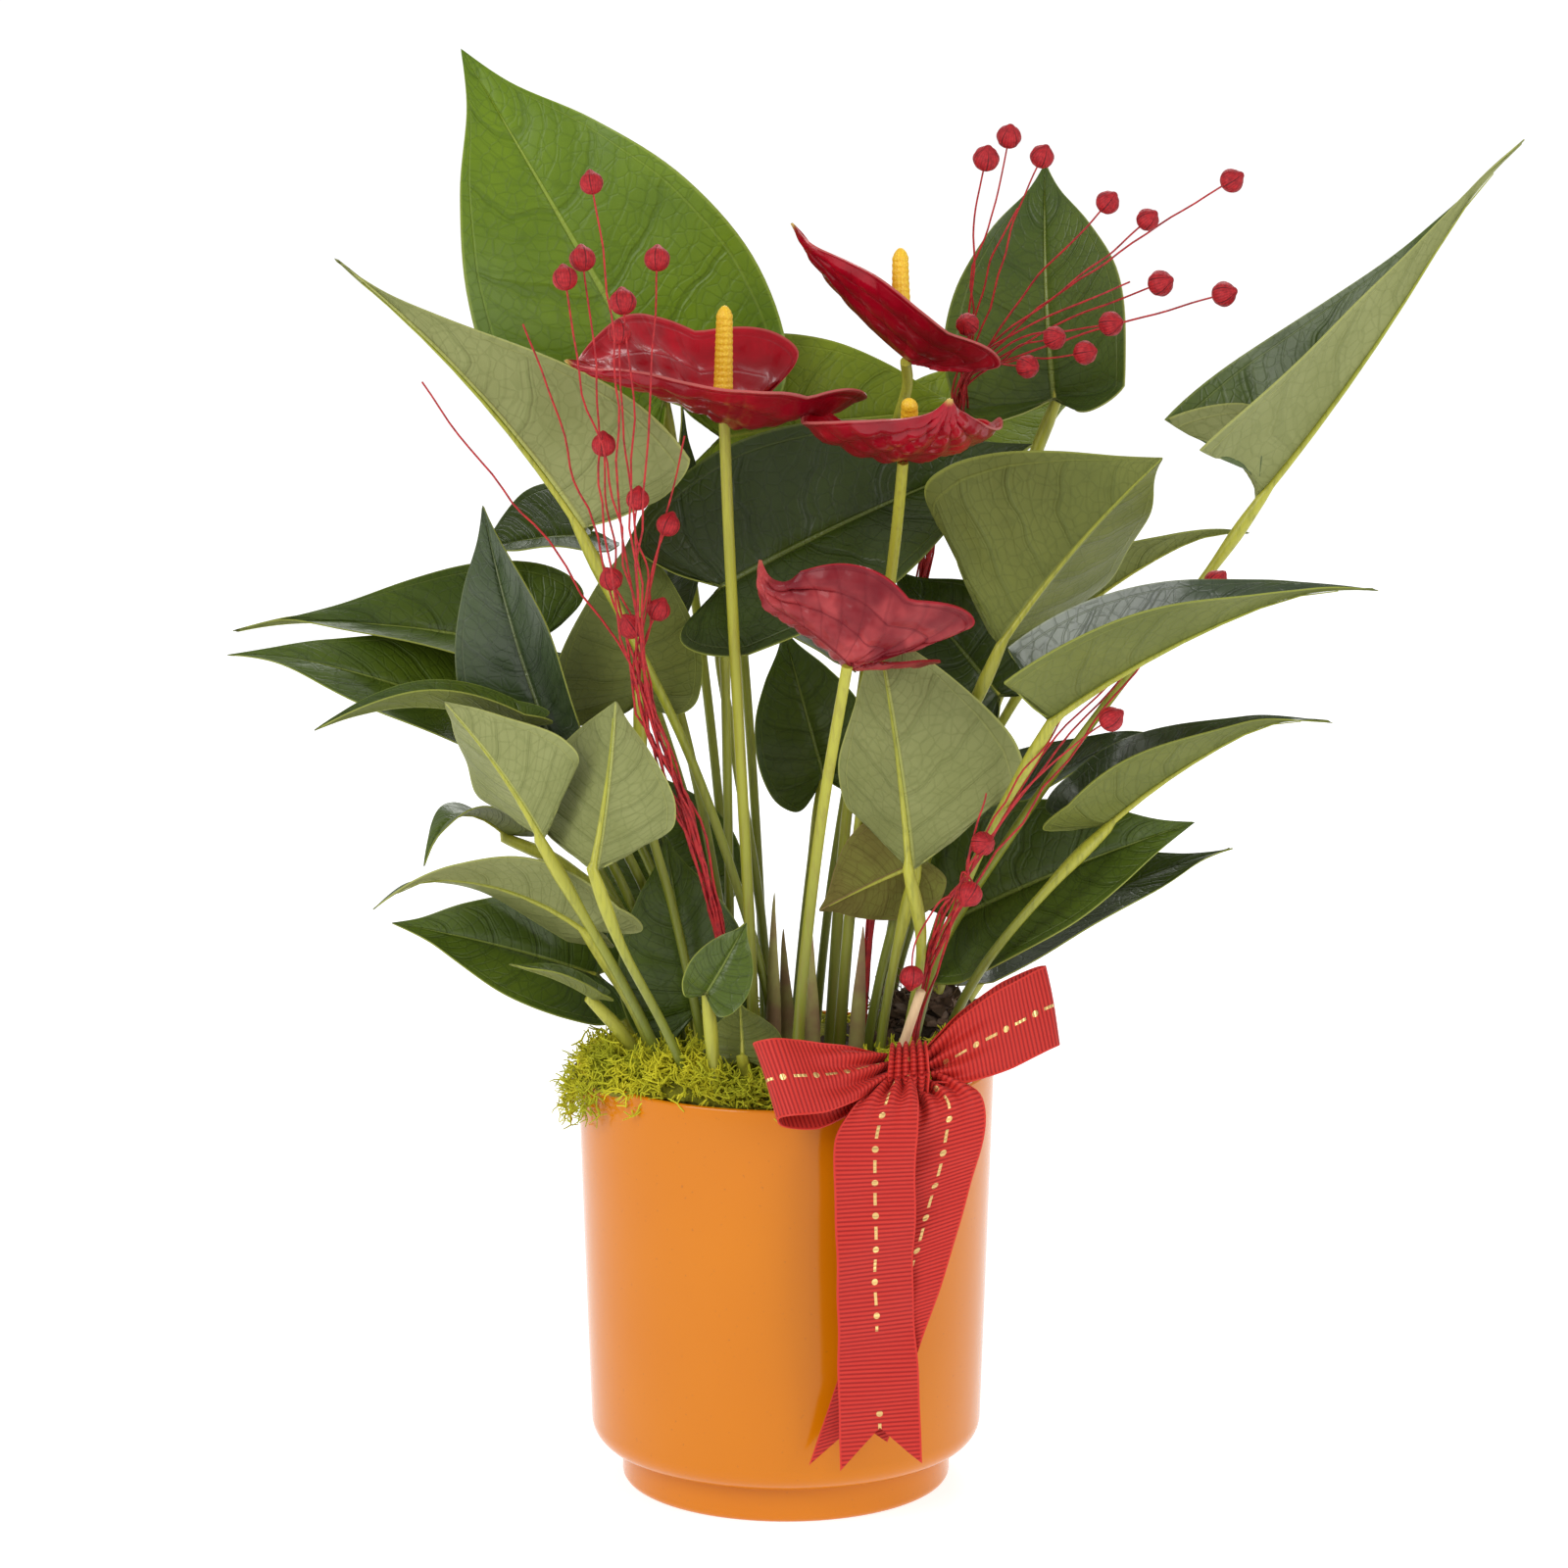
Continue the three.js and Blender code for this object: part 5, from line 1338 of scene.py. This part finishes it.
for sprig_name, sprig in SPRIGS.items():
    foot = Vector((*sprig["foot"], 0)) * 0.001 + Vector((0, 0, MIX_HEIGHT - 0.005))
    trunk = [foot] + [Vector(point) * 0.001 for point in sprig["trunk"]]
    ends = [(Vector(pod[:3]) * 0.001, pod[3] * 0.001, True) for pod in sprig["pods"]]
    ends += [(Vector(end) * 0.001, 0, False) for end in BARE_STALKS[sprig_name]]
    lines, pod_places = [], []
    for middle, bow, podded in ends:
        aside = jitter(pod_dice, 1) * 0.001
        spans = len(trunk) - 1
        route = [point + aside * (0.7 + 1.6 * (k / spans) ** 1.5) for k, point in enumerate(trunk)]
        bend = trunk[-1].lerp(middle, 0.45) + Vector((0, bow, FLAX_RISE)) + aside * 3
        near = bend.lerp(middle, 0.5) + jitter(pod_dice, 1) * 0.002
        stalk = smooth_line([*route, bend, near, middle], 6)
        line = []
        for k, point in enumerate(stalk):
            spot = point * 60 + aside * 9000
            ripple = Vector([noise.noise(spot + Vector((0, 0, 31 * axis))) for axis in range(3)])
            ripple *= FLAX_RIPPLE * math.sin(math.pi * k / (len(stalk) - 1))
            line.append((point + ripple, FLAX_RADIUS - FLAX_TAPER * k / len(stalk)))
        lines.append(line)
        if podded:
            way = (middle - near).normalized()
            size = POD_RADIUS * pod_dice.uniform(0.92, 1.06)
            place = Matrix.Translation(middle) @ turn_towards(way, pod_dice.uniform(0, 6), size)
            pod_places.append((0, place))
    stalks = tube("flax_stalks_" + sprig_name, lines, 1)
    flax_paint.coat(stalks)
    smooth(stalks, 60)
    pods = copies("flax_pods_" + sprig_name, [pod_pattern], pod_places)
    pod_paint.coat(pods)
    for flax_piece in (stalks, pods):
        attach(flax_piece, "root")
        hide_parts("sprig_" + sprig_name)
discard(pod_pattern)

# ---------------------------------------------------------------- stick and bow
# The bow is tied to a plain wooden pick pushed into the mix. It is red grosgrain ribbon 25 mm wide,
# ribbed across and gathered at the knot: two loops, and two notched tails that hang down the pot.

STICK_FOOT = Vector((0.027, -0.046, 0.124))
STICK_TIP = Vector((0.041, -0.051, 0.169))
STICK_RADIUS = 0.0015

stick_line = [(STICK_FOOT.lerp(STICK_TIP, k / 12), STICK_RADIUS) for k in range(12)]
stick_end = STICK_TIP + (STICK_TIP - STICK_FOOT).normalized() * 0.0003
stick_line += [(STICK_TIP, 0.00148), (stick_end, 0.0011)]
stick = tube("wooden_pick", [stick_line], 5)
stick_paint = Paint("pick_wood", Roughness=0.75)
stick_grain = stick_paint.noise(stick_paint.stretched((1400, 1400, 90)), 1, 4)
stick_tone = stick_paint.mix(stick_grain, (0.800, 0.600, 0.360), (0.560, 0.360, 0.180))
stick_paint.set("Base Color", stick_tone)
stick_paint.bump(stick_grain, 0.4, 0.0003)
stick_paint.coat(stick)
smooth(stick, 40)
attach(stick, "root")
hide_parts("bow_stick")

RIBBON_WIDTH = 0.025
RIBBON_THICKNESS = 0.0005
RIB_PITCH = 0.00135
GATHER_DEPTH = 0.0034
GATHER_PLEATS = 9.5
LEFT_ACROSS = (0.31, -0.5, -0.8)
RIGHT_ACROSS = (0.18, -0.46, -0.87)
STATION_STEPS = 14

# Millimetres: the middle of the ribbon, the way across it and how much of its width is spread.
RIBBONS = {
    "loop_left": dict(
        node="bow_loop_left", held="gathered", stations=[((30.5, -60, 148.5), LEFT_ACROSS, 0.34),
        ((19, -69.5, 148.5), LEFT_ACROSS, 0.72), ((8, -75, 148.5), LEFT_ACROSS, 0.97),
        ((-1, -78, 149), LEFT_ACROSS, 1), ((-6, -75, 147), LEFT_ACROSS, 1),
        ((-4, -70.5, 143.5), LEFT_ACROSS, 1), ((5, -68.5, 141.5), LEFT_ACROSS, 0.97),
        ((16, -66, 142.5), LEFT_ACROSS, 0.72), ((30.5, -59, 145.5), LEFT_ACROSS, 0.34)]),
    "loop_right": dict(
        node="bow_loop_right", held="gathered",
        stations=[((43.5, -59.5, 147), RIGHT_ACROSS, 0.36), ((54, -58, 152), RIGHT_ACROSS, 0.8),
        ((67, -54, 158), RIGHT_ACROSS, 0.98), ((77, -49, 162), RIGHT_ACROSS, 1),
        ((81, -45, 163), RIGHT_ACROSS, 1), ((79, -41, 162), RIGHT_ACROSS, 1),
        ((68, -44, 158), RIGHT_ACROSS, 0.98), ((55, -49, 153), RIGHT_ACROSS, 0.75),
        ((43.5, -57, 148.5), RIGHT_ACROSS, 0.36)]),
    "tail_front": dict(
        node="bow_tail_front", held="hung", notch=0.0125,
        stations=[((34, -63, 145), (1, 0.1, 0.1), 0.36), ((30, -73, 139), (1, 0.1, 0.05), 0.8),
        ((27, -75.5, 128), (1, 0.1, 0), 1), ((27, -75, 105), (1, 0.25, 0), 1),
        ((27, -74, 80), (0.9, 0.4, 0), 1), ((28, -73, 55), (0.95, 0.2, 0), 1),
        ((29, -72, 25), (1, 0, 0.1), 1)]),
    "tail_back": dict(
        node="bow_tail_back", held="hung", notch=0.0105,
        stations=[((42, -60, 143), (0.8, 0.2, 0.5), 0.36),
        ((49, -66, 138), (0.9, 0.1, 0.3), 0.78), ((48, -68, 126), (0.95, 0.1, 0.25), 1),
        ((43, -68, 105), (0.95, 0.1, 0.3), 1), ((36, -68, 80), (0.95, 0, 0.3), 1),
        ((27, -68, 53), (0.95, 0, 0.3), 1), ((19, -68, 28), (0.95, 0, 0.3), 1)]),
    "knot": dict(
        node="bow_knot", held="gathered", gather=0.0017, pleats=16,
        stations=[((37, -65.2, 146), (1, 0, 0.1), 0.5), ((37, -63.2, 152), (1, 0, 0.1), 0.46),
        ((37, -58.5, 154), (1, 0, 0), 0.42), ((37, -54.2, 151.5), (1, 0, 0), 0.42),
        ((37, -53, 147), (1, 0, 0), 0.42), ((37, -54.2, 142), (1, 0, 0), 0.42),
        ((37, -58.5, 139.6), (1, 0, 0), 0.42), ((37, -63.4, 140.6), (1, 0, 0.1), 0.46),
        ((37, -65.8, 146.5), (1, 0, 0.1), 0.5)]),
}

GOLD_STEP = 0.0105
GOLD_REPEAT = 0.105

ribbon_paint = Paint(
    "grosgrain_red", Specular_IOR_Level=0.25, Sheen_Weight=0.06, Sheen_Roughness=0.4)
ribbon_across = abs(ribbon_paint.chart(0))
ribbon_along = ribbon_paint.chart(1)
ribbon_ribs_and_groove_shade = ribbon_paint.between((ribbon_along / RIB_PITCH).zigzag(), 0.02, 0.36)
ribbon_selvedge = ribbon_paint.between(ribbon_across, 0.0118, 0.0121)
ribbon_weave_and_groove_shade = ribbon_ribs_and_groove_shade * (1 - ribbon_selvedge) + ribbon_selvedge
ribbon_clouds = ribbon_paint.noise(ribbon_paint.place(), 120, 2)
# Thin dark lines between the ribs: painted shade in their grooves.
ribbon_tone = ribbon_paint.mix(ribbon_weave_and_groove_shade, (0.310, 0.008, 0.007), (0.600, 0.034, 0.022))
ribbon_tone = ribbon_paint.mix(ribbon_clouds * 0.25, ribbon_tone, (0.440, 0.010, 0.014))
# A plain row of thin gold dashes and small dots down the middle, in groups with bare gaps.
gold_step = ribbon_along / GOLD_STEP
gold_dash_long = ribbon_paint.between(gold_step.zigzag(), 0.2, 0.18)
gold_dash = gold_dash_long * ribbon_paint.between(ribbon_across, 0.00055, 0.0004)
gold_dot_along = (gold_step + 0.5).zigzag() * GOLD_STEP
gold_dot_away = (gold_dot_along * gold_dot_along + ribbon_across * ribbon_across) ** 0.5
gold_dot = ribbon_paint.between(gold_dot_away, 0.0011, 0.0009)
gold_group = ribbon_paint.between((ribbon_along / GOLD_REPEAT + 0.08).zigzag(), 0.12, 0.125)
gold_print = (gold_dash + gold_dot) * gold_group
ribbon_paint.set("Base Color", ribbon_paint.mix(gold_print, ribbon_tone, (0.780, 0.520, 0.200)))
ribbon_paint.set("Metallic", gold_print * 0.8)
ribbon_paint.set("Roughness", 0.52 - gold_print * 0.22)
ribbon_paint.bump(ribbon_weave_and_groove_shade + gold_print * 0.3, 0.6, 0.0004)

for ribbon_name, ribbon in RIBBONS.items():
    middles, acrosses, spreads = zip(*ribbon["stations"])
    middles = smooth_line([Vector(middle) * 0.001 for middle in middles], STATION_STEPS)
    acrosses = smooth_line([Vector(across).normalized() for across in acrosses], STATION_STEPS)
    spreads = [Vector((spread, 0.001 * k, 0)) for k, spread in enumerate(spreads)]
    spreads = smooth_line(spreads, STATION_STEPS)
    lengths = measured(middles)
    total = lengths[-1]
    deselect()
    bpy.ops.mesh.primitive_grid_add(x_subdivisions=90, y_subdivisions=48, size=1)
    strip = start("ribbon_" + ribbon_name)
    marks = []
    for vertex in strip.data.vertices:
        across = vertex.co.y * 2
        far = (vertex.co.x + 0.5) * (total - ribbon.get("notch", 0) * (1 - abs(across)))
        marks.append((across * RIBBON_WIDTH / 2, far))
        passed = sum(length <= far + 1e-9 for length in lengths)
        k = min(passed - 1, len(lengths) - 2)
        f = (far - lengths[k]) / (lengths[k + 1] - lengths[k])
        middle = middles[k].lerp(middles[k + 1], f)
        way = acrosses[k].lerp(acrosses[k + 1], f).normalized()
        spread = spreads[k].lerp(spreads[k + 1], f).x
        onward = (middles[k + 1] - middles[k]).normalized()
        rise = onward.cross(way).normalized()
        pleat = math.sin(across * ribbon.get("pleats", GATHER_PLEATS) + 0.6)
        gather = max(0, 1 - spread) * ribbon.get("gather", GATHER_DEPTH) * pleat
        soft = 0.0005 * math.sin(far * 260 + across * 1.5)
        vertex.co = middle + way * across * spread * RIBBON_WIDTH / 2 + rise * (gather + soft)
    chart = strip.data.uv_layers.active.data
    for loop in strip.data.loops:
        chart[loop.index].uv = marks[loop.vertex_index]
    thicken(strip, RIBBON_THICKNESS)
    smooth(strip, 50)
    ribbon_paint.coat(strip)
    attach(strip, "root")
    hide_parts(ribbon["node"])
